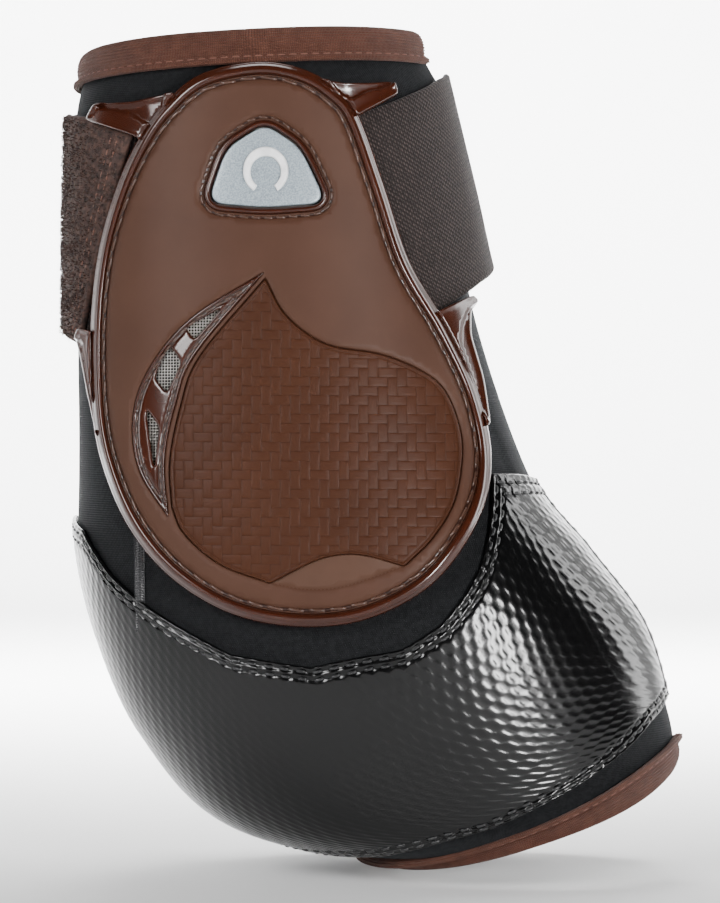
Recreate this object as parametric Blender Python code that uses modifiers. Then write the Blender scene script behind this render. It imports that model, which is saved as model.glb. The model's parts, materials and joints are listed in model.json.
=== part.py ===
"""Fetlock boot with an ergot cup for a horse's left hind leg: one boot, open at the front.

+X points to the front of the leg, -Y to its inner side and +Z up the leg. The origin is
under the fetlock joint, and the rim's tape reaches 3 mm below it. Lengths are in
millimetres and angles in degrees, and SCALE turns a length into metres.
"""

import math

import bmesh
import bpy
import numpy as np

SCALE = 0.001

# The neoprene's outer face, from the collar (level 0) to the rim (level 8), as sections:
# back x, back z, front x, front z, half width, drop of the sides under the straight line.
SECTIONS = np.array(
    [
        (-62.5, 225.5, 36.5, 230.5, 43, 0),
        (-63.5, 190, 42.7, 191, 45, 0),
        (-63.8, 148, 49.3, 151, 48, 0),
        (-63.8, 108, 64, 108, 52, 0),
        (-63, 86, 80, 87, 54, 0),
        (-57, 62, 95, 67, 54, 1),
        (-45, 36, 102, 46, 52, 3),
        (-22, 12, 105, 33, 48, 5),
        (22, 1, 105, 29, 43, 6),
    ]
)
RIM = len(SECTIONS) - 1
SQUARENESS = 2.3  # exponent of the sections, where 2 is an ellipse

# Layers, as heights over the neoprene's outer face
NEOPRENE = 5.0
LINING = 2.0
LINING_GAP = 1.6
COVER = 1.4
COVER_LIFT = 1.5
BINDING = 1.5
BINDING_CLEARANCE = 1.4  # from the lining to the tape's inner leg
# The tapes' folds from hem to hem: whether on the inner leg, lift over the skin or over that
# leg, and rise over the edge
COLLAR_FOLD = [(0, 0.6, -7.5), (0, 0.6, 0.2), (0, -0.4, 0.9), (1, 0.8, 0.9), (1, 0, 0.2), (1, 0, -7.5)]
RIM_FOLD = [(1, 0, 3.5), (1, 0, -1), (1, 1, -1.8), (0, -0.4, -1.8), (0, 0.6, -1), (0, 0.6, 4.5)]
GEL = (1.0, 2.2)
SHELL_LOW = 3.0
FACE_TOP = 5.6
FRAME_TOP = 7.0
PAD_TOP = 6.4
BADGE_TOP = 6.2
ELASTIC = 1.8
REAR_LIFT = 0.7
PILE = 1.7
PILE_LIFT = 3.0
HOOK = 1.2
HOOK_LIFT = 5.2
TAIL_LIFT = 6.8
STRAP_AXIS_LIFT = 6.0
TAIL_AXIS_LIFT = 9.0
STRAP_GAP = 1.2

# Directions round the leg: 0 is the front, 90 the outer side, 180 the back, 270 the inner side.
INNER_EDGE = 356
FLAP_EDGE = 28
FOLD_GAP = 1.0

# The flap folds out about a straight line just outside the outer wall, from collar to rim.
FOLD_AXIS = np.array([(5.0, 54.0, 230.0), (40.5, 60.0, 9.0)])

# Outlines on the inner side, as (x, z) seen square on
SHELL = [
    (-11.5, 220), (-27, 216.7), (-37, 209), (-44, 200), (-50.8, 186), (-56, 168), (-58, 147),
    (-57, 124), (-53, 108), (-45.5, 93), (-34, 80.5), (-18, 71.5), (1, 68.3), (19, 70.8),
    (36, 80.4), (48, 97), (51.8, 113), (48.5, 131), (40, 149), (29.5, 166.5), (22.5, 187),
    (15.5, 206), (9.5, 213), (0.9, 218),
]
BADGE = [(-9.7, 203), (-20, 196.5), (-25, 181.8), (-9.5, 180.5), (7, 181.8), (-0.1, 196.8)]
VENT_OUTER = [(-9.8, 163), (-29.7, 150.5), (-41, 137), (-45.3, 124), (-43.5, 110), (-35.5, 97.5)]
VENT_INNER = [(-35.5, 97.5), (-36.6, 112.7), (-33.5, 128), (-28.3, 141), (-9.8, 163)]
VENT_WINDOWS = [
    [(-22, 152.8), (-30, 147), (-27.8, 144.8)],
    [(-35, 143), (-31.8, 138.5), (-35.6, 131), (-38.6, 134.8)],
    [(-41, 126), (-37.8, 121.8), (-39.4, 110.5)],
]
PAD_SIDE = [
    (-9.4, 161.5), (-4.9, 152.9), (1.3, 147), (8.5, 143.3), (18.4, 141.8), (25.1, 140.1),
    (33.3, 136.4), (38.7, 131.9), (42.3, 124), (43.7, 115), (41.5, 102), (35.5, 92), (27.7, 84.3),
]
PAD_FOOT = [(27.7, 84.3), (18.4, 87), (11.7, 87.5), (4, 85.8), (-7.9, 79.8)]
PAD_BACK = [(-7.9, 79.8), (-21.3, 84.7), (-31, 92.8), (-34.4, 100)]
PAD_RISE = [(-34.4, 100), (-35, 112.5), (-32, 127.5), (-27, 140.5), (-9.4, 161.5)]
EARS = {
    "rear_top": [(-33, 209), (-34.5, 212), (-45.8, 210), (-57, 210.3), (-59.6, 206), (-46, 200.8),
                 (-41, 198)],
    "rear_low": [(-55.5, 152), (-58.5, 152.5), (-63.5, 149.5), (-62.5, 144), (-59, 126), (-55, 125)],
    "front_top": [(4, 214), (5.8, 215.8), (15.2, 215.3), (25.5, 215.8), (26.6, 213), (15.8, 206),
                  (12, 205)],
    "front_low": [(34, 152), (37.5, 153.2), (48.1, 159.6), (49.4, 157), (47.5, 146), (48.5, 133),
                  (44, 134)],
}
FRAME_WIDTH = 6.0
BEZEL_WIDTH = 3.4
CELL = 13.0  # facets of the moulded pieces

# Straps: for each direction round the leg, the heights of the lower and upper edge
STRAP_EDGES = np.array(
    [
        (-63, 147, 206.3), (-42, 153.2, 212.5), (-20, 161, 218.5), (0, 166, 222), (40, 165, 220),
        (84, 160, 214.5), (120, 156, 211), (180, 149.6, 210.8), (209, 144.4, 207.5),
        (235, 139, 200.6),
    ]
)
STRAP_SLOT = (-38, -58.5)  # where the front strap leaves the shell, low and high
STRAP_HINGE = (-23, -49)
REAR_SLOT = (205.5, 231)
PILE_EDGE = 84
TAIL_START = 79
TAIL_END = 118
PULL_TAB_END = 127
PILE_SETBACK = 1  # the pile and the hook patch end this much before their straps
HOOK_SETBACK = 6
TAB_GAP = 0.6
FRONT_LIFT = 1.0  # the front strap over the skin, where nothing lies under it
BRIDGE_END = 55  # direction up to which the front strap bridges the hollow of the front
BRIDGE_LIFTS = (5.2, 0.6)  # the bridge's greatest lift at the strap's lower and upper edge
PILE_RAMP = [40, 76]  # directions over which the strap climbs onto the pile

COVER_TOP = np.array(
    [(0, 3.05), (24, 2.99), (39, 2.98), (50, 3.52), (61, 4.12), (69, 4.48), (77, 4.81), (86, 5.07),
     (101, 5.22), (117, 5.07), (134, 4.59), (146, 4.2), (159, 3.64), (180, 3.45)]
)
COVER_FOOT = np.array(
    [(0, 5.95), (15, 6.05), (29, 6.25), (44, 6.6), (60, 6.93), (77, 7.21), (89, 7.4), (120, 7.55),
     (180, 7.6)]
)

LOOKS = {
    "neoprene": ((0.012, 0.013, 0.015), 0.85, 0.0),
    "lining": ((0.03, 0.03, 0.032), 0.95, 0.0),
    "gel": ((0.12, 0.10, 0.09), 0.5, 0.0),
    "satin": ((0.11, 0.055, 0.036), 0.45, 0.0),
    "gloss": ((0.07, 0.022, 0.012), 0.15, 0.0),
    "pad": ((0.13, 0.05, 0.025), 0.4, 0.0),
    "silver": ((0.36, 0.38, 0.39), 0.35, 0.6),
    "white": ((0.85, 0.85, 0.85), 0.4, 0.0),
    "mesh": ((0.45, 0.43, 0.4), 0.4, 0.5),
    "binding": ((0.17, 0.07, 0.045), 0.85, 0.0),
    "cover": ((0.006, 0.006, 0.007), 0.2, 0.0),
    "elastic": ((0.06, 0.045, 0.042), 0.9, 0.0),
    "pile": ((0.035, 0.018, 0.015), 1.0, 0.0),
}


def section(level):
    """The rows of SECTIONS at these levels, on a smooth curve through the rows."""
    rows = np.vstack([2 * SECTIONS[0] - SECTIONS[1], SECTIONS, 2 * SECTIONS[-1] - SECTIONS[-2]])
    low = np.clip(np.floor(level), 0, RIM - 1).astype(int)
    f = (level - low)[:, None]
    a, b, c, d = (rows[low + k] for k in range(4))
    return b + 0.5 * f * (c - a + f * (2 * a - 5 * b + 4 * c - d + f * (3 * (b - c) + d - a)))


def skin(angle, level):
    """Points of the neoprene's outer face, for angles in degrees and levels."""
    back_x, back_z, front_x, front_z, half, drop = section(level).T
    turn = np.radians(angle)
    ahead = np.sign(np.cos(turn)) * np.abs(np.cos(turn)) ** (2 / SQUARENESS)
    aside = np.sign(np.sin(turn)) * np.abs(np.sin(turn)) ** (2 / SQUARENESS)
    x = (back_x + front_x) / 2 + ahead * (front_x - back_x) / 2
    z = (back_z + front_z) / 2 + ahead * (front_z - back_z) / 2 - drop * aside**2
    return np.stack([x, half * aside, z], axis=1)


def lifted(angle, level, lift, rise=0.0):
    """Points at a height over the skin, moved up along it by rise."""
    spread = np.broadcast_arrays(*(np.atleast_1d(v) for v in (angle, level, lift, rise)))
    angle, level, lift, rise = (np.array(v, float) for v in spread)
    step = 0.05
    round_it = skin(angle + step, level) - skin(angle - step, level)
    down = skin(angle, level + step / 50) - skin(angle, level - step / 50)
    out = np.cross(down, round_it)
    out /= np.linalg.norm(out, axis=1)[:, None]
    down /= np.linalg.norm(down, axis=1)[:, None]
    return skin(angle, level) + lift[:, None] * out - rise[:, None] * down


def level_at(angle, height):
    """The levels where the skin has these heights."""
    low, high = np.zeros(len(angle)), np.full(len(angle), float(RIM))
    for _ in range(30):
        middle = (low + high) / 2
        above = skin(angle, middle)[:, 2] > height
        low, high = np.where(above, middle, low), np.where(above, high, middle)
    return low


def fold_angle(level):
    """The directions in which the skin passes under the flap's fold at these levels."""
    (top_x, _, top_z), (low_x, _, low_z) = FOLD_AXIS
    low, high = np.full(len(level), 20.0), np.full(len(level), 160.0)
    for _ in range(30):
        middle = (low + high) / 2
        point = skin(middle, level)
        fold_x = top_x + (low_x - top_x) * (top_z - point[:, 2]) / (top_z - low_z)
        ahead = point[:, 0] > fold_x
        low, high = np.where(ahead, middle, low), np.where(ahead, high, middle)
    return low


def inner_side(x, z, lift):
    """The points over the inner side that show at (x, z) when seen square on."""
    angle, level = np.full(len(x), 270.0), np.clip((228 - z) / 40, 0.1, RIM - 0.2)
    for _ in range(25):
        point = lifted(angle, level, lift)[:, [0, 2]]
        by_angle = (lifted(angle + 0.1, level, lift)[:, [0, 2]] - point) / 0.1
        by_level = (lifted(angle, level + 0.01, lift)[:, [0, 2]] - point) / 0.01
        miss = np.stack([x, z], axis=1) - point
        size = by_angle[:, 0] * by_level[:, 1] - by_angle[:, 1] * by_level[:, 0]
        angle += np.clip((miss[:, 0] * by_level[:, 1] - miss[:, 1] * by_level[:, 0]) / size, -12, 12)
        level += np.clip((by_angle[:, 0] * miss[:, 1] - by_angle[:, 1] * miss[:, 0]) / size, -0.5, 0.5)
        angle, level = np.clip(angle, 182, 358), np.clip(level, 0, RIM)
    return lifted(angle, level, lift)


def curve_through(points, steps=4, closed=False):
    """A smooth line through the points, with this many steps between each two."""
    p = np.array(points, float)
    p = np.vstack([p[-1], p, p[0], p[1]]) if closed else np.vstack([2 * p[0] - p[1], p, 2 * p[-1] - p[-2]])
    line = []
    for a, b, c, d in zip(p, p[1:], p[2:], p[3:]):
        for f in np.arange(steps) / steps:
            line.append(b + 0.5 * f * (c - a + f * (2 * a - 5 * b + 4 * c - d + f * (3 * (b - c) + d - a))))
    return np.array(line if closed else [*line, p[-2]])


def joined(*lines):
    """One closed outline from lines that each start where the last one ends."""
    return np.vstack([line[:-1] for line in lines])


def inset(loop, distance):
    """The closed outline moved inwards by a distance, or outwards if it is negative."""
    x, z = loop.T
    area = (x * np.roll(z, -1) - np.roll(x, -1) * z).sum()
    along = np.roll(loop, -1, axis=0) - np.roll(loop, 1, axis=0)
    along /= np.linalg.norm(along, axis=1)[:, None]
    inwards = np.stack([-along[:, 1], along[:, 0]], axis=1) * math.copysign(1, area)
    moved = loop + distance * inwards
    # In a sharp tip the moved sides would cross, so the points that lie too near are dropped.
    side = np.roll(loop, -1, axis=0) - loop
    to_start = moved[:, None] - loop
    share = np.clip((to_start * side).sum(axis=2) / (side**2).sum(axis=1), 0, 1)
    near = np.linalg.norm(to_start - share[:, :, None] * side, axis=2).min(axis=1)
    return moved[near > 0.97 * abs(distance)]


def rounded(corners, share=0.25, steps=3):
    """A closed outline with its corners rounded off by curves."""
    p, loop = np.array(corners, float), []
    for before, corner, after in zip(np.roll(p, 1, axis=0), p, np.roll(p, -1, axis=0)):
        a, b = corner + share * (before - corner), corner + share * (after - corner)
        for f in np.arange(steps + 1) / steps:
            loop.append((1 - f) ** 2 * a + 2 * f * (1 - f) * corner + f * f * b)
    return np.array(loop)


def material(look):
    found = bpy.data.materials.get(look)
    if found:
        return found
    colour, roughness, metallic = LOOKS[look]
    new = bpy.data.materials.new(look)
    new.use_nodes = True
    shader = new.node_tree.nodes["Principled BSDF"]
    shader.inputs["Base Color"].default_value = (*colour, 1)
    shader.inputs["Roughness"].default_value = roughness
    shader.inputs["Metallic"].default_value = metallic
    return new


def add_piece(name, bm, look, hinge=None):
    """Puts a mesh in the boot's collection, with its origin on its hinge if it has one."""
    mesh = bpy.data.meshes.new(name)
    if hinge is not None:
        bmesh.ops.translate(bm, vec=-hinge.matrix_world.translation, verts=bm.verts)
    bm.to_mesh(mesh)
    bm.free()
    mesh.shade_smooth()
    mesh.materials.append(material(look))
    piece = bpy.data.objects.new(name, mesh)
    piece.parent = hinge
    BOOT.objects.link(piece)
    return piece


def sheet(name, place, columns, rows, thickness, look, hinge=None):
    """A grid bent by place(across, up), then thickened outwards."""
    bm = bmesh.new()
    bmesh.ops.create_grid(bm, x_segments=columns, y_segments=rows, size=0.5)
    flat = np.array([v.co for v in bm.verts]) + 0.5
    for vert, point in zip(bm.verts, place(flat[:, 0], flat[:, 1])):
        vert.co = point * SCALE
    piece = add_piece(name, bm, look, hinge)
    solid = piece.modifiers.new("thickness", "SOLIDIFY")
    solid.thickness = thickness * SCALE
    solid.offset = 1
    solid.use_even_offset = True
    return piece


def plate_mesh(outline, holes, low, high, cell=CELL):
    """A flat outline with holes, thickened, cut into cells and bent onto the inner side."""
    curve = bpy.data.curves.new("outline", "CURVE")
    curve.dimensions = "2D"
    curve.fill_mode = "BOTH"
    curve.extrude = 0.5
    for loop in (outline, *holes):
        spline = curve.splines.new("POLY")
        spline.points.add(len(loop) - 1)
        for point, (x, z) in zip(spline.points, loop):
            point.co = (x, z, 0, 1)
        spline.use_cyclic_u = True
    guide = bpy.data.objects.new("outline", curve)
    BOOT.objects.link(guide)
    bpy.context.view_layer.update()
    mesh = bpy.data.meshes.new_from_object(guide.evaluated_get(bpy.context.evaluated_depsgraph_get()))
    bpy.data.objects.remove(guide)
    bm = bmesh.new()
    bm.from_mesh(mesh)
    bmesh.ops.remove_doubles(bm, verts=bm.verts, dist=1e-4)
    for axis, normal in ((0, (1, 0, 0)), (1, (0, 1, 0))):
        span = outline[:, axis]
        for at in np.arange(span.min() + cell / 2, span.max(), cell):
            where = (at, 0, 0) if axis == 0 else (0, at, 0)
            parts = bm.verts[:] + bm.edges[:] + bm.faces[:]
            bmesh.ops.bisect_plane(bm, geom=parts, dist=1e-3, plane_co=where, plane_no=normal)
    bmesh.ops.triangulate(bm, faces=bm.faces)
    flat = np.array([v.co for v in bm.verts])
    bent = inner_side(flat[:, 0], flat[:, 1], np.where(flat[:, 2] > 0, high, low))
    for vert, point in zip(bm.verts, bent):
        vert.co = point * SCALE
    return bm


def plate(name, outline, holes, low, high, look):
    return add_piece(name, plate_mesh(outline, holes, low, high), look)


def band(name, start, end, foot, top, lift, thickness, look, columns, rows, hinge=None):
    """A layer round the leg between two ends, and between two levels that may vary."""

    def place(across, up):
        level = np.full(len(up), RIM / 2.0)
        for _ in range(6):
            angle = start(level) + (end(level) - start(level)) * across
            low, high = foot(angle), top(angle)
            level = low + (high - low) * up
        return lifted(angle, level, lift)

    return sheet(name, place, columns, rows, thickness, look, hinge)


def along_edge(table):
    """A level that follows a table of directions, the same on both sides of the leg."""
    return lambda angle: np.interp(180 - np.abs((angle % 360) - 180), table[:, 0], table[:, 1])


def constant(value):
    """An end, an edge or a lift that is the same everywhere."""
    return lambda at, *_: np.full(len(at), float(value))


def liner_pair(suffix, start, end, columns, hinge=None):
    """The neoprene and the lining inside it."""
    layers = (("neoprene", -NEOPRENE, NEOPRENE), ("lining", -NEOPRENE - LINING_GAP - LINING, LINING))
    for look, lift, thickness in layers:
        name = f"{look}_{suffix}"
        band(name, start, end, constant(RIM), constant(0), lift, thickness, look, columns, 15, hinge)


def folded_tape(name, start, end, level, path, columns, hinge=None):
    """A tape folded over an edge, its fold given as (lift, rise) from one hem to the other."""
    path = np.array(path)

    def place(across, up):
        at = np.rint(up * (len(path) - 1)).astype(int)
        edge = np.full(len(up), float(level))
        angle = start(edge) + (end(edge) - start(edge)) * across
        return lifted(angle, float(level), path[at, 0], path[at, 1])

    return sheet(name, place, columns, len(path) - 1, BINDING, "binding", hinge)


def collar_and_rim(suffix, start, end, columns, hinge=None):
    """The two bindings, folded over the upper and the lower edge of the padding."""
    inside = -(NEOPRENE + LINING_GAP + LINING + BINDING_CLEARANCE)
    collar = [(lift + (inside if inwards else 0), rise) for inwards, lift, rise in COLLAR_FOLD]
    rim = [(lift + (inside if inwards else 0), rise) for inwards, lift, rise in RIM_FOLD]
    folded_tape(f"collar_binding_{suffix}", start, end, 0, collar, columns, hinge)
    folded_tape(f"rim_binding_{suffix}", start, end, RIM, rim, columns, hinge)


def strap(name, start, end, lift, thickness, look, columns, hinge=None):
    """A strap between two ends, each given as the direction of its low and high corner."""

    def place(across, up):
        first = start[0] + (start[1] - start[0]) * up
        last = end[0] + (end[1] - end[0]) * up
        angle = first + (last - first) * across
        low, high = (np.interp(angle, STRAP_EDGES[:, 0], STRAP_EDGES[:, k]) for k in (1, 2))
        height = low + (high - low) * up
        return lifted(angle, level_at(angle, height), lift(angle, up))

    return sheet(name, place, columns, 4, thickness, look, hinge)


def front_lift(angle, up):
    """How far the front strap's inner face stands off: it bridges the hollow of the front."""
    bridge = np.cos(np.radians(np.clip(angle * 90 / BRIDGE_END, -90, 90))) ** 2
    over_pile = np.interp(angle, PILE_RAMP, [0, TAIL_LIFT - FRONT_LIFT])
    low, high = BRIDGE_LIFTS
    return FRONT_LIFT + over_pile + bridge * (low + (high - low) * up)


def build_shell():
    """The moulded guard on the inner side, with its badge, vent and strike pad."""
    outline = curve_through(SHELL, 2, closed=True)
    frame = plate_mesh(outline, [inset(outline, FRAME_WIDTH)], SHELL_LOW, FRAME_TOP)
    shell_frame = add_piece("shell_frame", frame, "gloss")
    for name, corners in EARS.items():
        low = 4.9 if name.startswith("rear") else 3.4
        ear = add_piece(f"ear_{name}", plate_mesh(rounded(corners), [], low, FRAME_TOP + 0.4), "gloss")
        BOOT.objects.unlink(ear)
        CUTTERS.objects.link(ear)
        ear.hide_render = True
        ear.display_type = "WIRE"
        joint = shell_frame.modifiers.new(name, "BOOLEAN")
        joint.operation = "UNION"
        joint.object = ear

    badge = rounded(BADGE, 0.3)
    bezel = inset(badge, -BEZEL_WIDTH)
    vent = joined(curve_through(VENT_OUTER, 2), curve_through(VENT_INNER, 2))
    pad = joined(*(curve_through(run, 2) for run in (PAD_SIDE, PAD_FOOT, PAD_BACK, PAD_RISE)))
    vent_hole, pad_hole = vent, pad
    face = inset(outline, FRAME_WIDTH + 0.4)
    plate("shell_face", face, [inset(bezel, -0.4), vent_hole, pad_hole], SHELL_LOW, FACE_TOP, "satin")
    plate("badge_bezel", bezel, [inset(badge, -0.4)], SHELL_LOW, FRAME_TOP - 0.3, "gloss")
    plate("badge_plate", badge, [], SHELL_LOW, BADGE_TOP, "silver")
    plate("strike_pad", inset(pad, 0.8), [], SHELL_LOW, PAD_TOP, "pad")
    windows = [rounded(corners) for corners in VENT_WINDOWS]
    plate("vent_frame", inset(vent, 0.8), windows, SHELL_LOW + 1, FACE_TOP + 0.6, "gloss")
    plate("vent_mesh", inset(vent, 0.8), [], SHELL_LOW, SHELL_LOW + 0.5, "mesh")
    plate("gel_pad", inset(outline, 2.0), [], *GEL, "gel")
    build_emblem()


def build_emblem():
    """A plain raised horseshoe in the middle of the badge."""
    centre, outer, inner = np.array((-9.3, 190.2)), 6.2, 4.0
    turn = np.radians(np.linspace(-60, 240, 16))
    ring = np.stack([np.cos(turn), np.sin(turn) * 1.05], axis=1)
    shoe = np.vstack([centre + outer * ring, centre + inner * ring[::-1]])
    plate("badge_emblem", shoe, [], BADGE_TOP + 0.3, BADGE_TOP + 0.9, "white")


def fold_end(gap):
    """An end of a layer that lies along the flap's fold."""
    return lambda level: fold_angle(level) + gap


def strap_line(angles, lift):
    """The straight line across a strap at the directions of its low and high corner."""
    angle = np.array(angles, float)
    height = [np.interp(a, STRAP_EDGES[:, 0], STRAP_EDGES[:, k]) for a, k in zip(angle, (1, 2))]
    return lifted(angle, level_at(angle, np.array(height)), lift)


def empty_at(name, point, parent=None):
    """An empty on a joint's axis."""
    empty = bpy.data.objects.new(name, None)
    BOOT.objects.link(empty)
    empty.parent = parent
    base = np.array(parent.matrix_world.translation) if parent else np.zeros(3)
    empty.location = point * SCALE - base
    bpy.context.view_layer.update()
    return empty


def build_wrap():
    """The padding, its bindings and the cup's cover: one part fixed, one part the flap."""
    flap_hinge = empty_at("flap_hinge", FOLD_AXIS[0])
    parts = (
        ("body", fold_end(FOLD_GAP), constant(INNER_EDGE), 21, None),
        ("flap", constant(FLAP_EDGE), fold_end(-FOLD_GAP), 7, flap_hinge),
    )
    foot, top = along_edge(COVER_FOOT), along_edge(COVER_TOP)
    for suffix, start, end, columns, hinge in parts:
        liner_pair(suffix, start, end, columns, hinge)
        collar_and_rim(suffix, start, end, columns, hinge)
        name = f"cup_cover_{suffix}"
        band(name, start, end, foot, top, COVER_LIFT, COVER, "cover", columns, 7, hinge)


def build_straps():
    """The rear strap with its pile, and the front strap that swings open with its tail."""
    pile_front = (PILE_EDGE, PILE_EDGE)
    pile_back = [angle - PILE_SETBACK for angle in REAR_SLOT]
    strap("rear_strap", pile_front, REAR_SLOT, constant(REAR_LIFT), ELASTIC, "elastic", 12)
    strap("loop_pile", pile_front, pile_back, constant(PILE_LIFT), PILE, "pile", 12)

    strap_hinge = empty_at("strap_hinge", strap_line(STRAP_HINGE, STRAP_AXIS_LIFT)[1])
    tail_line = (TAIL_START, TAIL_START)
    tail_hinge = empty_at("tail_hinge", strap_line(tail_line, TAIL_AXIS_LIFT)[1], strap_hinge)
    root_end = [angle - STRAP_GAP for angle in STRAP_HINGE]
    front_end = [angle - STRAP_GAP for angle in tail_line]
    tail_end = (TAIL_END, TAIL_END)
    strap("front_strap_root", STRAP_SLOT, root_end, front_lift, ELASTIC, "elastic", 2)
    strap("front_strap", STRAP_HINGE, front_end, front_lift, ELASTIC, "elastic", 10, strap_hinge)
    strap("strap_tail", tail_line, tail_end, constant(TAIL_LIFT), ELASTIC, "elastic", 4, tail_hinge)
    hook_start = [angle + HOOK_SETBACK for angle in tail_line]
    hook_end = [angle - PILE_SETBACK for angle in tail_end]
    strap("hook_patch", hook_start, hook_end, constant(HOOK_LIFT), HOOK, "pile", 4, tail_hinge)
    tab_start = [angle + TAB_GAP for angle in tail_end]
    tab_end = (PULL_TAB_END, PULL_TAB_END)
    strap("pull_tab", tab_start, tab_end, constant(TAIL_LIFT), ELASTIC, "binding", 2, tail_hinge)


for old in list(bpy.data.objects):
    bpy.data.objects.remove(old)
BOOT = bpy.data.collections.new("fetlock_boot")
CUTTERS = bpy.data.collections.new("cutters")
for group in (BOOT, CUTTERS):
    bpy.context.scene.collection.children.link(group)
build_wrap()
build_shell()
build_straps()
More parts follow.
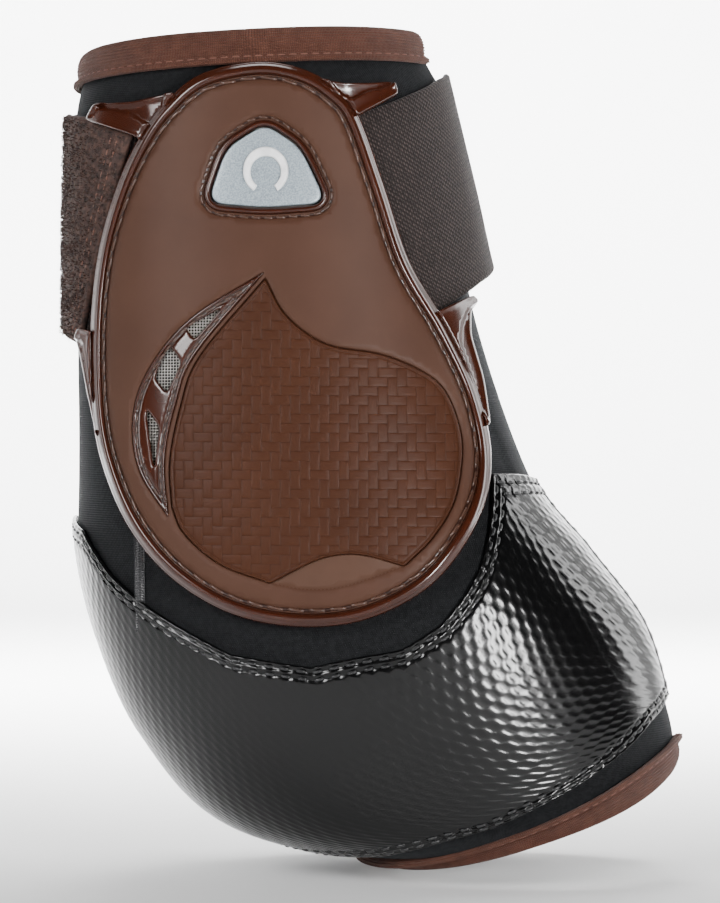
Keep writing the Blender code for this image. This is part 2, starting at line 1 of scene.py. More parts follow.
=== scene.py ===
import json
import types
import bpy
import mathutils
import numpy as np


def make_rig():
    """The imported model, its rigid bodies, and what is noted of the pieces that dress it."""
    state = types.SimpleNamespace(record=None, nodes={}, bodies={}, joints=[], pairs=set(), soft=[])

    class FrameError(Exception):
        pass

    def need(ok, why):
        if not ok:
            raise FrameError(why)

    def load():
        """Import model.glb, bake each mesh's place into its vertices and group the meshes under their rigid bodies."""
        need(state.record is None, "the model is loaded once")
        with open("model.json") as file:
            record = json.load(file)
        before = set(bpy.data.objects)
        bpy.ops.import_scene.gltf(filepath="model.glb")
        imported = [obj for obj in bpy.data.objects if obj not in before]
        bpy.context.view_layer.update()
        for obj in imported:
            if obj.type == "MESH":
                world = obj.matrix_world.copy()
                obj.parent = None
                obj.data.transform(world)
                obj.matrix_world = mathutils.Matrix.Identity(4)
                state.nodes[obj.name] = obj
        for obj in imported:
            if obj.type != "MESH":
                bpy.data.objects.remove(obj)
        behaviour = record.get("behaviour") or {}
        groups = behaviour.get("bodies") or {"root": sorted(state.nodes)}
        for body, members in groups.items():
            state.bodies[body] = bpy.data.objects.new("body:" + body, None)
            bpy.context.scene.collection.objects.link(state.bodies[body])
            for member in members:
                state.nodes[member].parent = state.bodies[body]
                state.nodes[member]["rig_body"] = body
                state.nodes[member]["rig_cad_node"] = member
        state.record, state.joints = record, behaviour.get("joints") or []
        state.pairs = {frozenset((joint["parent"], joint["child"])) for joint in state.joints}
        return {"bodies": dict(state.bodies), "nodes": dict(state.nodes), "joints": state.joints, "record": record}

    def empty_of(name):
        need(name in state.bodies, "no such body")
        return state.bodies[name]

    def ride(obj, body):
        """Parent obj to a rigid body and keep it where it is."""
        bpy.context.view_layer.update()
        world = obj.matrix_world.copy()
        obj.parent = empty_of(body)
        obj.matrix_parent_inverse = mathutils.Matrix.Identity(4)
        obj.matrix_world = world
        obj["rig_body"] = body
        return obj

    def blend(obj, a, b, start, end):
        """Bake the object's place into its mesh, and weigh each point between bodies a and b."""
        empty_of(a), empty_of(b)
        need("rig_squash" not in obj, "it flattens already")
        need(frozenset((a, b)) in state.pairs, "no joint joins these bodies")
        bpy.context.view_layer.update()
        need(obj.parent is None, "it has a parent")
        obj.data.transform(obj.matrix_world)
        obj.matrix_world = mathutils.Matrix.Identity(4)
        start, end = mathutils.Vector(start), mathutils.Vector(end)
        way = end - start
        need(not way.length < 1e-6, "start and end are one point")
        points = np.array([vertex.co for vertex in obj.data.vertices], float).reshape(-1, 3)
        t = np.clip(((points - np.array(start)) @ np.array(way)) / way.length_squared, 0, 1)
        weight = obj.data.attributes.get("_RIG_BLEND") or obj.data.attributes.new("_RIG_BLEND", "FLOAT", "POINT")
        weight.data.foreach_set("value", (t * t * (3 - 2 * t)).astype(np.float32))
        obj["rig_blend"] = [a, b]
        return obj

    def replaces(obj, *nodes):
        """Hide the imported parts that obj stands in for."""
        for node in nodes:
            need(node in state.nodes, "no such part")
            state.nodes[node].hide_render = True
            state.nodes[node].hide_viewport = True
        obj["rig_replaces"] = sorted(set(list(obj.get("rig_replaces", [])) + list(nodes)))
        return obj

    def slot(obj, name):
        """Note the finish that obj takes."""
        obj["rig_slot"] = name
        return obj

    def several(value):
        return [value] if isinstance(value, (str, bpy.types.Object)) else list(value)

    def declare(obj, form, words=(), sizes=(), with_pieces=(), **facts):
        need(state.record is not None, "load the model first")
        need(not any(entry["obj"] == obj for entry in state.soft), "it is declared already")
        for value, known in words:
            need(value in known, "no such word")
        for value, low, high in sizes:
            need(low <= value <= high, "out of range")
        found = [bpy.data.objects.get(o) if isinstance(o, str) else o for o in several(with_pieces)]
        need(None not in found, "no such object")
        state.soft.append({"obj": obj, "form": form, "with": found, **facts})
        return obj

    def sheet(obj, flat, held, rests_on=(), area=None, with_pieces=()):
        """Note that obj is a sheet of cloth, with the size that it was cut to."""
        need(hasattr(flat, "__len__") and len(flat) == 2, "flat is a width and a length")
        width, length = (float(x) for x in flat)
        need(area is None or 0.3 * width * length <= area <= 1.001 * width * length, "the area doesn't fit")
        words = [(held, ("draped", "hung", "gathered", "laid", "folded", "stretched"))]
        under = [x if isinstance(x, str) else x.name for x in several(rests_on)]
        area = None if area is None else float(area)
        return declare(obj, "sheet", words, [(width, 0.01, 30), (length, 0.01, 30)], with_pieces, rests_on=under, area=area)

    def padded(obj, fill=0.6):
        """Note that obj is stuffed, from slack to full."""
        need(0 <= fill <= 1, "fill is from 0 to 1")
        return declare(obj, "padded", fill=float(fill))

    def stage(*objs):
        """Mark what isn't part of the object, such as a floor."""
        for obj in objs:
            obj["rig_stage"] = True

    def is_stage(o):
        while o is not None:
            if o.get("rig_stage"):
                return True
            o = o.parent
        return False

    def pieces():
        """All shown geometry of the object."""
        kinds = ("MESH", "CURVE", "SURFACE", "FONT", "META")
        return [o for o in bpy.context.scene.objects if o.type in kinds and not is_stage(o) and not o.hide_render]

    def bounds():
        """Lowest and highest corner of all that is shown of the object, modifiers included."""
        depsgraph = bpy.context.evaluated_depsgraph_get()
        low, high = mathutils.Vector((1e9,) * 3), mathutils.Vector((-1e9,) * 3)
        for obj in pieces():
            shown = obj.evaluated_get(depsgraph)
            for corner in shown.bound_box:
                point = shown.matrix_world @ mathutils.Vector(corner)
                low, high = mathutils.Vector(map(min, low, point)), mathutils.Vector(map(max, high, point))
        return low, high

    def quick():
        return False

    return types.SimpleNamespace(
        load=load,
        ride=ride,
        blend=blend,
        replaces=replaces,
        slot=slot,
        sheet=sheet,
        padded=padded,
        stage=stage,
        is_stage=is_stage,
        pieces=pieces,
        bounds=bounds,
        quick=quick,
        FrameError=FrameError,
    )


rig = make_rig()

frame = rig.load()

# The looks of a horse's left hind fetlock boot. +X is the front of the leg, -Y its inner
# side. Lengths are in millimetres and directions round the leg in degrees, as in the CAD:
# 0 is the front, 90 the outer side, 180 the back and 270 the inner side, with the guard.

import json
import math

import bpy
import numpy as np
from mathutils import Vector
from mathutils.geometry import delaunay_2d_cdt

CAD_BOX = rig.bounds()
SCALE = 0.001
UV_SCALE = 0.01  # one unit of the texture coordinates is 100 mm
FINE = 2.0 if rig.quick() else 1.0  # grid steps are this much longer in a quick try

# ---------------------------------------------------------------- the boot's measures

SECTIONS = np.array(
    [
        (-62.5, 225.5, 36.5, 230.5, 43, 0),
        (-63.5, 190, 42.7, 191, 45, 0),
        (-63.8, 148, 49.3, 151, 48, 0),
        (-63.8, 108, 64, 108, 52, 0),
        (-63, 86, 80, 87, 54, 0),
        (-57, 62, 95, 67, 54, 1),
        (-45, 36, 102, 46, 52, 3),
        (-22, 12, 105, 33, 48, 5),
        (22, 1, 105, 29, 43, 6),
    ]
)
RIM = len(SECTIONS) - 1
SQUARENESS = 2.3
FOLD_AXIS = np.array([(5.0, 54.0, 230.0), (40.5, 60.0, 9.0)])
SEAM_BEHIND_FOLD = 12.0  # the flap's pieces start this far behind its fold, to bend with it
INNER_EDGE = 356
FLAP_EDGE = 28

SHELL = [
    (-11.5, 220), (-27, 216.7), (-37, 209), (-44, 200), (-50.8, 186), (-56, 168), (-58, 147),
    (-57, 124), (-53, 108), (-45.5, 93), (-34, 80.5), (-18, 71.5), (1, 68.3), (19, 70.8),
    (36, 80.4), (48, 97), (51.8, 113), (48.5, 131), (40, 149), (29.5, 166.5), (22.5, 187),
    (15.5, 206), (9.5, 213), (0.9, 218),
]
BADGE = [(-9.7, 203), (-20, 196.5), (-25, 181.8), (-9.5, 180.5), (7, 181.8), (-0.1, 196.8)]
VENT_OUTER = [(-9.8, 163), (-29.7, 150.5), (-41, 137), (-45.3, 124), (-43.5, 110), (-35.5, 97.5)]
VENT_INNER = [(-35.5, 97.5), (-36.6, 112.7), (-33.5, 128), (-28.3, 141), (-9.8, 163)]
VENT_WINDOWS = [
    [(-20.5, 154), (-30.8, 148.2), (-28.4, 144.9)],
    [(-35.6, 143.8), (-31.9, 139), (-36, 130.6), (-39.4, 135)],
    [(-41.8, 126.8), (-38, 121.8), (-39.4, 109.5)],
]
PAD_SIDE = [
    (-9.4, 161.5), (-4.9, 152.9), (1.3, 147), (8.5, 143.3), (18.4, 141.8), (25.1, 140.1),
    (33.3, 136.4), (38.7, 131.9), (42.3, 124), (43.7, 115), (41.5, 102), (35.5, 92), (27.7, 84.3),
]
PAD_FOOT = [(27.7, 84.3), (18.4, 87), (11.7, 87.5), (4, 85.8), (-7.9, 79.8)]
PAD_BACK = [(-7.9, 79.8), (-21.3, 84.7), (-31, 92.8), (-34.4, 100)]
PAD_RISE = [(-34.4, 100), (-35, 112.5), (-32, 127.5), (-27, 140.5), (-9.4, 161.5)]
LENS_FOOT = [(-7.9, 79.8), (1.5, 78.2), (12, 79), (27.7, 84.3)]

STRAP_EDGES = np.array(
    [
        (-63, 147, 206.3), (-42, 153.2, 212.5), (-20, 161, 218.5), (0, 166, 222), (40, 165, 220),
        (84, 160, 214.5), (120, 156, 211), (180, 149.6, 210.8), (209, 144.4, 207.5),
        (235, 139, 200.6),
    ]
)
COVER_TOP = np.array(
    [(0, 3.05), (24, 2.99), (39, 2.98), (50, 3.52), (61, 4.12), (69, 4.48), (77, 4.81), (86, 5.07),
     (101, 5.22), (117, 5.07), (134, 4.59), (146, 4.2), (159, 3.64), (180, 3.45)]
)
COVER_FOOT = np.array(
    [(0, 5.95), (15, 6.05), (29, 6.25), (44, 6.6), (60, 6.93), (77, 7.21), (89, 7.4), (120, 7.55),
     (180, 7.6)]
)

WEAVE_CELL = (2.6, 2.5)  # the strike pad's cells
LATTICE = (3.8, 7.2)  # the embossed bumps' spacing along and up the cover

# ---------------------------------------------------------------- the surface


def section(level):
    """The rows of SECTIONS at these levels, on a smooth curve through the rows."""
    rows = np.vstack([2 * SECTIONS[0] - SECTIONS[1], SECTIONS, 2 * SECTIONS[-1] - SECTIONS[-2]])
    low = np.clip(np.floor(level), 0, RIM - 1).astype(int)
    f = (level - low)[:, None]
    a, b, c, d = (rows[low + k] for k in range(4))
    return b + 0.5 * f * (c - a + f * (2 * a - 5 * b + 4 * c - d + f * (3 * (b - c) + d - a)))


def skin(angle, level):
    """Points of the neoprene's outer face, for angles in degrees and levels 0 to RIM."""
    back_x, back_z, front_x, front_z, half, drop = section(level).T
    turn = np.radians(angle)
    ahead = np.sign(np.cos(turn)) * np.abs(np.cos(turn)) ** (2 / SQUARENESS)
    aside = np.sign(np.sin(turn)) * np.abs(np.sin(turn)) ** (2 / SQUARENESS)
    x = (back_x + front_x) / 2 + ahead * (front_x - back_x) / 2
    z = (back_z + front_z) / 2 + ahead * (front_z - back_z) / 2 - drop * aside**2
    return np.stack([x, half * aside, z], axis=1)


def lifted(angle, level, lift, rise=0.0):
    """Points at a height over the skin, moved up along it by rise."""
    angle, level, lift, rise = (
        np.array(v, float) for v in np.broadcast_arrays(*map(np.atleast_1d, (angle, level, lift, rise)))
    )
    round_it = skin(angle + 0.5, level) - skin(angle - 0.5, level)
    down = skin(angle, level + 0.01) - skin(angle, level - 0.01)
    out = np.cross(down, round_it)
    out /= np.linalg.norm(out, axis=1)[:, None]
    down /= np.linalg.norm(down, axis=1)[:, None]
    return skin(angle, level) + lift[:, None] * out - rise[:, None] * down


def level_at(angle, height):
    """The levels where the skin has these heights."""
    low, high = np.zeros(len(angle)), np.full(len(angle), float(RIM))
    for _ in range(16):
        middle = (low + high) / 2
        above = skin(angle, middle)[:, 2] > height
        low, high = np.where(above, middle, low), np.where(above, high, middle)
    return (low + high) / 2


def fold_angle(level, behind=0.0):
    """The directions in which the skin passes the flap's fold, or a line behind it."""
    (top_x, _, top_z), (low_x, _, low_z) = FOLD_AXIS
    low, high = np.full(len(level), 20.0), np.full(len(level), 165.0)
    for _ in range(16):
        middle = (low + high) / 2
        point = skin(middle, level)
        fold_x = top_x + (low_x - top_x) * (top_z - point[:, 2]) / (top_z - low_z)
        ahead = point[:, 0] > fold_x - behind
        low, high = np.where(ahead, middle, low), np.where(ahead, high, middle)
    return low


def seen_at(x, z, lift, angle, level, rounds):
    """Newton steps towards the direction and level that show at (x, z) seen square on."""
    for _ in range(rounds):
        point = lifted(angle, level, lift)[:, [0, 2]]
        by_angle = (lifted(angle + 0.1, level, lift)[:, [0, 2]] - point) / 0.1
        by_level = (lifted(angle, level + 0.01, lift)[:, [0, 2]] - point) / 0.01
        miss = np.stack([x, z], axis=1) - point
        size = by_angle[:, 0] * by_level[:, 1] - by_angle[:, 1] * by_level[:, 0]
        angle = angle + np.clip((miss[:, 0] * by_level[:, 1] - miss[:, 1] * by_level[:, 0]) / size, -12, 12)
        level = level + np.clip((by_angle[:, 0] * miss[:, 1] - by_angle[:, 1] * miss[:, 0]) / size, -0.5, 0.5)
        angle, level = np.clip(angle, 182, 358), np.clip(level, 0, RIM)
    return angle, level


GUIDE_X, GUIDE_Z, GUIDE_STEP = np.arange(-64.0, 56.0, 4.0), np.arange(62.0, 226.0, 4.0), 4.0
guide_x, guide_z = (grid.ravel() for grid in np.meshgrid(GUIDE_X, GUIDE_Z, indexing="ij"))
GUIDE = seen_at(
    guide_x, guide_z, np.full(len(guide_x), 5.0), np.full(len(guide_x), 270.0),
    np.clip((228 - guide_z) / 40, 0.1, RIM - 0.2), 16,
)


def inner_side(x, z, lift):
    """The points over the inner side that show at (x, z) when seen square on."""
    lift = np.broadcast_to(lift, x.shape)
    i = np.clip(np.rint((x - GUIDE_X[0]) / GUIDE_STEP), 0, len(GUIDE_X) - 1).astype(int)
    j = np.clip(np.rint((z - GUIDE_Z[0]) / GUIDE_STEP), 0, len(GUIDE_Z) - 1).astype(int)
    angle, level = (values[i * len(GUIDE_Z) + j] for values in GUIDE)
    angle, level = seen_at(x, z, lift, angle, level, 4)
    return lifted(angle, level, lift)


# ---------------------------------------------------------------- outlines


def curve_through(points, steps=6, closed=False):
    """A smooth line through the points, with this many steps between each two."""
    p = np.array(points, float)
    ends = (p[-1:], p[:2]) if closed else (2 * p[:1] - p[1:2], 2 * p[-1:] - p[-2:-1])
    p = np.vstack([ends[0], p, ends[1]])
    line = []
    for a, b, c, d in zip(p, p[1:], p[2:], p[3:]):
        for f in np.arange(steps) / steps:
            line.append(b + 0.5 * f * (c - a + f * (2 * a - 5 * b + 4 * c - d + f * (3 * (b - c) + d - a))))
    return np.array(line if closed else [*line, p[-2]])


def joined(*lines):
    """One closed outline from lines that each start where the last one ends."""
    return np.vstack([line[:-1] for line in lines])


def rounded(corners, share=0.25, steps=6):
    """A closed outline with its corners rounded off by curves."""
    p, loop = np.array(corners, float), []
    for before, corner, after in zip(np.roll(p, 1, axis=0), p, np.roll(p, -1, axis=0)):
        a, b = corner + share * (before - corner), corner + share * (after - corner)
        for f in np.arange(steps + 1) / steps:
            loop.append((1 - f) ** 2 * a + 2 * f * (1 - f) * corner + f * f * b)
    return np.array(loop)


def run_along(line):
    """The distance along a line at each of its points."""
    return np.concatenate([[0], np.cumsum(np.linalg.norm(np.diff(line, axis=0), axis=1))])


def evenly(line, step):
    """A closed line again, with its points about step apart."""
    line = np.vstack([line, line[:1]])
    along = run_along(line)
    at = np.linspace(0, along[-1], max(3, round(along[-1] / step)) + 1)
    return np.stack([np.interp(at, along, line[:, k]) for k in range(line.shape[1])], axis=1)[:-1]


def inside_depth(points, loop):
    """How far each point is inside a closed outline, and less than 0 outside it."""
    side = np.roll(loop, -1, axis=0) - loop
    depth = np.full(len(points), np.inf)
    crossings = np.zeros(len(points), int)
    for (x, z), (dx, dz) in zip(loop, side):
        to_x, to_z = points[:, 0] - x, points[:, 1] - z
        share = np.clip((to_x * dx + to_z * dz) / max(dx * dx + dz * dz, 1e-12), 0, 1)
        depth = np.minimum(depth, np.hypot(to_x - share * dx, to_z - share * dz))
        if dz != 0:
            crossings += ((to_z >= 0) != (to_z - dz >= 0)) & (to_x < to_z * dx / dz)
    return np.where(crossings % 2 == 1, depth, -depth)


def twice_area(loop):
    """Twice the area in a closed line, and less than 0 where it runs clockwise."""
    return (loop[:, 0] * np.roll(loop[:, 1], -1) - np.roll(loop[:, 0], -1) * loop[:, 1]).sum()


def ring_at(loop, distance):
    """The closed line moved inwards point by point, or outwards where distance is negative."""
    along = np.roll(loop, -1, axis=0) - np.roll(loop, 1, axis=0)
    along /= np.linalg.norm(along, axis=1)[:, None]
    inwards = np.stack([-along[:, 1], along[:, 0]], axis=1) * math.copysign(1, twice_area(loop))
    return loop + distance * inwards


def inset(loop, distance):
    """ring_at without the points that come too near the line where it turns sharply."""
    moved = ring_at(loop, distance)
    return moved[np.abs(inside_depth(moved, loop)) > 0.97 * abs(distance)]


# ---------------------------------------------------------------- making meshes


def in_scene(name, data):
    piece = bpy.data.objects.new(name, data)
    bpy.context.scene.collection.objects.link(piece)
    return piece


def add_mesh(name, points, faces, look, slot, body="boot", uv=None, also=()):
    """A smooth piece from points in millimetres; uv gives each point's place on the cloth."""
    mesh = bpy.data.meshes.new(name)
    mesh.from_pydata((np.asarray(points) * SCALE).tolist(), [], [list(f) for f in faces])
    mesh.validate()
    if uv is not None:
        loops = np.zeros(len(mesh.loops), int)
        mesh.loops.foreach_get("vertex_index", loops)
        layer = mesh.uv_layers.new(name="cloth")
        layer.data.foreach_set("uv", (np.asarray(uv)[loops] * UV_SCALE).astype(np.float32).ravel())
    mesh.shade_smooth()
    mesh.materials.append(look)
    for other in also:
        mesh.materials.append(other)
    piece = in_scene(name, mesh)
    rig.slot(piece, slot)
    if body:
        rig.ride(piece, body)
    return piece


def grid_faces(rows, columns, start=0, wrap=False, flip=False):
    """Quads of a grid of points that is stored row by row."""
    last = columns if wrap else columns - 1
    faces = []
    for i in range(rows - 1):
        for j in range(last):
            a, b = start + i * columns + j, start + i * columns + (j + 1) % columns
            quad = (a, a + columns, b + columns, b)
            faces.append(quad[::-1] if flip else quad)
    return faces


def stations(length, step, radius, round_start, round_end):
    """Distances along a slab: close together where an end is rounded off."""
    near = radius * np.array([0, 0.06, 0.2, 0.45, 0.75, 1.1])
    first = near if round_start else near[:1]
    last = length - near[::-1] if round_end else length - near[:1]
    count = max(2, round((last[0] - first[-1]) / (step * FINE)))
    return np.concatenate([first[:-1], np.linspace(first[-1], last[0], count + 1), last[1:]])


def arc_lengths(grid):
    """For a grid of points, the distance along each of its two directions, from its middle."""
    lengths = []
    for axis in (0, 1):
        step = np.linalg.norm(np.diff(grid, axis=axis), axis=2)
        along = np.cumsum(step, axis=axis)
        along = np.insert(along, 0, 0, axis=axis)
        middle = along.shape[axis] // 2
        lengths.append(along - np.take(along, [middle], axis=axis))
    return lengths


def slab(name, place, size, lifts, look, slot, step=1.5, ends=(1, 1, 1, 1), relief=None, body="boot"):
    """A layer of cloth or sheet with rounded edges.

    place(across, up, lift) gives its points, size its rough length and height, lifts its two
    faces, ends which of its four edges (start, end, foot, top) are rounded, and relief the
    extra height of its outer face from the true distances along it.
    """
    low, high = lifts
    radius = (high - low) / 2
    steps = step if isinstance(step, tuple) else (step, step)
    us = stations(size[0], steps[0], radius, ends[0], ends[1])
    vs = stations(size[1], steps[1], radius, ends[2], ends[3])
    shape = np.ones((len(us), len(vs)))
    for kept, distance in (
        (ends[0], us[:, None]), (ends[1], size[0] - us[:, None]),
        (ends[2], vs[None, :]), (ends[3], size[1] - vs[None, :]),
    ):
        if kept:
            e = np.clip(distance / radius, 0, 1)
            shape = np.minimum(shape, np.sqrt(1 - 0.97 * (1 - e) ** 2) + 0 * shape)
    across, up = (a.ravel() for a in np.meshgrid(us / size[0], vs / size[1], indexing="ij"))
    middle = (low + high) / 2
    base = place(across, up, np.full(len(across), middle)).reshape(len(us), len(vs), 3)
    along, upward = arc_lengths(base)
    extra = relief(along, upward, us[:, None] + 0 * shape, vs[None, :] + 0 * shape) if relief else 0
    outer = place(across, up, (middle + (radius + extra) * shape).ravel())
    inner = place(across, up, (middle - radius * shape).ravel())
    count, columns = len(across), len(vs)
    faces = grid_faces(len(us), columns, flip=False)
    faces += grid_faces(len(us), columns, start=count, flip=True)
    border = [i * columns for i in range(len(us))]
    border += [(len(us) - 1) * columns + j for j in range(1, columns)]
    border += [i * columns + columns - 1 for i in range(len(us) - 2, -1, -1)]
    border += list(range(columns - 2, 0, -1))
    for a, b in zip(border, border[1:] + border[:1]):
        faces.append((b, a, a + count, b + count))
    cloth = np.stack([along.ravel(), upward.ravel()], axis=1)
    points = np.vstack([outer, inner])
    return add_mesh(name, points, faces, look, slot, body, uv=np.vstack([cloth, cloth]))


def add_tubes(name, strands, sides, look, slot, body):
    """Capped tubes with this many sides, from strands of (middle, side, up, radius) rows."""
    turn = np.arange(sides) * math.tau / sides
    points, faces = [], []
    for strand in strands:
        start, rows = len(points), 0
        for middle, side, up, radius in zip(*strand):
            points += [middle + radius * (math.cos(t) * side + math.sin(t) * up) for t in turn]
            rows += 1
        first = list(range(start, start + sides))
        faces += grid_faces(rows, sides, start=start, wrap=True, flip=True)
        faces += [first, [p + (rows - 1) * sides for p in first[::-1]]]
    return add_mesh(name, np.array(points), faces, look, slot, body)


def stitches(name, path, look, slot, length=3.0, gap=0.8, radius=0.35, body="boot", slant=0.0,
             closed=False):
    """A row of stitches: short rounded threads that dip into the cloth at their ends.

    path is a dense line of (point, outward direction) pairs in millimetres.
    """
    line, outward = (np.vstack([part, part[:1]]) if closed else part for part in path)
    along = run_along(line)
    number = max(1, int(along[-1] / (length + gap)))
    pitch, cuts, strands = along[-1] / number, 9, []
    share = np.linspace(-1, 1, cuts)
    for k in range(number):
        at = k * pitch + gap / 2 + np.linspace(0, pitch - gap, cuts)
        middle, up = (
            np.stack([np.interp(at, along, part[:, i]) for i in range(3)], axis=1)
            for part in (line, outward)
        )
        up /= np.linalg.norm(up, axis=1)[:, None]
        ahead = np.gradient(middle, axis=0)
        ahead /= np.linalg.norm(ahead, axis=1)[:, None]
        side = np.cross(ahead, up)
        size = radius * np.sqrt(np.clip(1 - share**8, 0.02, 1))
        sink = -1.5 * radius * share**4
        strands.append((middle + up * sink[:, None] + side * (slant * share)[:, None], side, up, size))
    return add_tubes(name, strands, 8, look, slot, body)


def threads(name, lines, radius, look, slot, sides=5, body="boot"):
    """Thin round threads, each along its own short line of points."""
    strands = []
    for line in lines:
        ahead = np.gradient(line, axis=0)
        ahead /= np.linalg.norm(ahead, axis=1)[:, None]
        side = np.cross(ahead, np.array([0.31, 0.2, 0.93]))
        side /= np.linalg.norm(side, axis=1)[:, None]
        strands.append((line, side, np.cross(side, ahead), np.broadcast_to(radius, (len(line),))))
    return add_tubes(name, strands, sides, look, slot, body)


def path_over(surface, lift):
    """A path for stitches on a surface, which is given as a function of the lift."""
    line = surface(lift)
    return line, surface(lift + 1.0) - line


def on_guard(flat, lift):
    """A path for stitches on the guard, from points seen square on."""
    return path_over(lambda height: inner_side(flat[:, 0], flat[:, 1], height), lift)


# ---------------------------------------------------------------- materials


class Look:
    """A Principled material, and the nodes that feed it."""

    def __init__(self, name, colour, roughness=0.5, metallic=0.0, **sockets):
        self.material = bpy.data.materials.new(name)
        self.material.use_nodes = True
        self.tree = self.material.node_tree
        self.inputs = self.tree.nodes["Principled BSDF"].inputs
        self.inputs["Base Color"].default_value = (*colour, 1)
        self.inputs["Roughness"].default_value = roughness
        self.inputs["Metallic"].default_value = metallic
        for socket, value in sockets.items():
            self.inputs[socket.replace("_", " ")].default_value = value

    def put(self, socket, value):
        if isinstance(value, bpy.types.NodeSocket):
            self.tree.links.new(value, socket)
        else:
            socket.default_value = value

    def node(self, kind, output, links=None, **settings):
        """An output of a new node, with its settings made and its inputs linked or set."""
        new = self.tree.nodes.new(f"ShaderNode{kind}")
        for key, value in settings.items():
            setattr(new, key, value)
        for key, value in (links or {}).items():
            self.put(new.inputs[key], value)
        return new.outputs[output]

    def colour(self, value):
        self.put(self.inputs["Base Color"], value)

    def bump(self, height, strength, distance):
        """Adds a bump of this distance in metres, on top of any that is there."""
        before = self.inputs["Normal"].links
        links = {"Height": height, "Strength": strength, "Distance": distance}
        if before:
            links["Normal"] = before[0].from_socket
        self.put(self.inputs["Normal"], self.node("Bump", "Normal", links))

    def maths(self, operation, a, b=0.5):
        return self.node("Math", "Value", {0: a, 1: b}, operation=operation)

    def times(self, vector, factors):
        return self.node("VectorMath", "Vector", {0: vector, 1: factors}, operation="MULTIPLY")

    def ranged(self, value, low=0.0, high=1.0, start=0.0, end=1.0, kind="LINEAR"):
        """The value's share from low to high, as a share from start to end."""
        links = {"Value": value, "From Min": low, "From Max": high, "To Min": start, "To Max": end}
        return self.node("MapRange", "Result", links, interpolation_type=kind)

    def mix(self, factor, a, b):
        result = self.node("Mix", "Result", {"Factor": factor}, data_type="RGBA")
        for key, value in (("A", a), ("B", b)):
            socket = next(s for s in result.node.inputs if s.name == key and s.type == "RGBA")
            self.put(socket, value if isinstance(value, bpy.types.NodeSocket) else (*value, 1))
        return next(s for s in result.node.outputs if s.type == "RGBA")

    def noise(self, scale, detail, vector=None):
        vector = vector or self.node("TexCoord", "Object")
        return self.node("TexNoise", "Fac", {"Vector": vector, "Scale": scale, "Detail": detail})

    def mottle(self, colour, darker, scale, detail=4.0, low=0.35, high=0.65):
        """A colour that wanders between two shades with a noise."""
        shade = self.node("ValToRGB", "Color", {"Fac": self.noise(scale, detail)})
        for stop, place, value in zip(shade.node.color_ramp.elements, (low, high), (darker, colour)):
            stop.position, stop.color = place, (*value, 1)
        return shade

    def cloth(self, scale_x, scale_y):
        """Texture coordinates along the cloth, in threads."""
        uv = self.node("UVMap", "UV", uv_map="cloth")
        return self.times(uv, (scale_x / UV_SCALE, scale_y / UV_SCALE, 1))

    def along(self, place):
        """The two coordinates of a place on the cloth."""
        parts = self.node("SeparateXYZ", "X", {"Vector": place}).node
        return parts.outputs["X"], parts.outputs["Y"]

    def wave(self, vector, direction, distortion=0.0):
        """Straight sine bands, one for each unit of the vector."""
        links = {"Vector": vector, "Scale": math.tau / 20, "Distortion": distortion}
        return self.node("TexWave", "Fac", links, wave_type="BANDS", bands_direction=direction)


def neoprene_look():
    """Black knitted face of the neoprene: matte, with a fine knit and a faint sheen."""
    look = Look("neoprene", (0.006, 0.0065, 0.0075), 0.85, Sheen_Weight=0.06, Sheen_Roughness=0.5,
                Sheen_Tint=(0.55, 0.6, 0.65, 1), Specular_IOR_Level=0.15)
    place = look.cloth(1.6, 1.6)
    knit = look.maths("MULTIPLY", look.wave(place, "X"), look.wave(place, "Y"))
    shade = look.mottle((0.006, 0.0062, 0.007), (0.0012, 0.0014, 0.0018), 900, low=0.4, high=0.6)
    look.colour(look.mix(knit, shade, (0.0085, 0.009, 0.01)))
    look.bump(knit, 0.5, 0.0002)
    return look


def lining_look():
    """Soft black lining with rows of small holes."""
    look = Look("lining", (0.02, 0.02, 0.022), 0.95, Sheen_Weight=0.2)
    links = {"Vector": look.cloth(0.25, 0.25), "Scale": 1.0, "Randomness": 0.0}
    hole = look.ranged(look.node("TexVoronoi", "Distance", links), 0.12, 0.2)
    # the holes are painted near black: partly the dark neoprene seen through them, partly painted shade inside them
    look.colour(look.mix(hole, (0.002, 0.002, 0.002), (0.024, 0.024, 0.026)))
    look.bump(hole, 0.8, 0.0006)
    return look


def binding_look():
    """Brown ribbed elastic tape: fine ribs along it, crossed by finer threads."""
    look = Look("binding", (0.12, 0.036, 0.02), 0.85, Sheen_Weight=0.1, Specular_IOR_Level=0.2)
    ribs = look.wave(look.cloth(2.0, 1.25), "X", 0.3)
    shade = look.mottle((0.1, 0.036, 0.0215), (0.07, 0.0235, 0.0135), 320)
    look.colour(look.mix(look.maths("MULTIPLY", ribs, 0.6), shade, (0.028, 0.009, 0.005)))
    look.bump(ribs, 0.8, 0.0002)
    return look


def thread_look(name, colour, roughness=0.55):
    """Twisted sewing thread."""
    look = Look(name, colour, roughness, Sheen_Weight=0.05)
    twist = look.noise(2500.0, 2.0)
    look.colour(look.mix(twist, tuple(c * 0.5 for c in colour), colour))
    look.bump(twist, 0.4, 0.0001)
    return look


def cover_look():
    """Glossy black coated sheet, embossed with small round bumps in diagonal rows."""
    look = Look("cup_cover", (0.0015, 0.0015, 0.0016), 0.17, Specular_IOR_Level=0.42)
    waves = [
        look.maths("COSINE", look.maths("MULTIPLY", part, math.tau / pitch))
        for part, pitch in zip(look.along(look.cloth(1.0, 1.0)), LATTICE)
    ]
    bumps = look.ranged(look.maths("MULTIPLY", *waves), -0.5, kind="SMOOTHSTEP")
    fine = look.noise(300.0, 5.0)
    look.put(look.inputs["Roughness"], look.ranged(fine, start=0.17, end=0.23))
    look.bump(fine, 0.3, 0.0002)
    look.bump(bumps, 0.5, 0.0001)
    return look


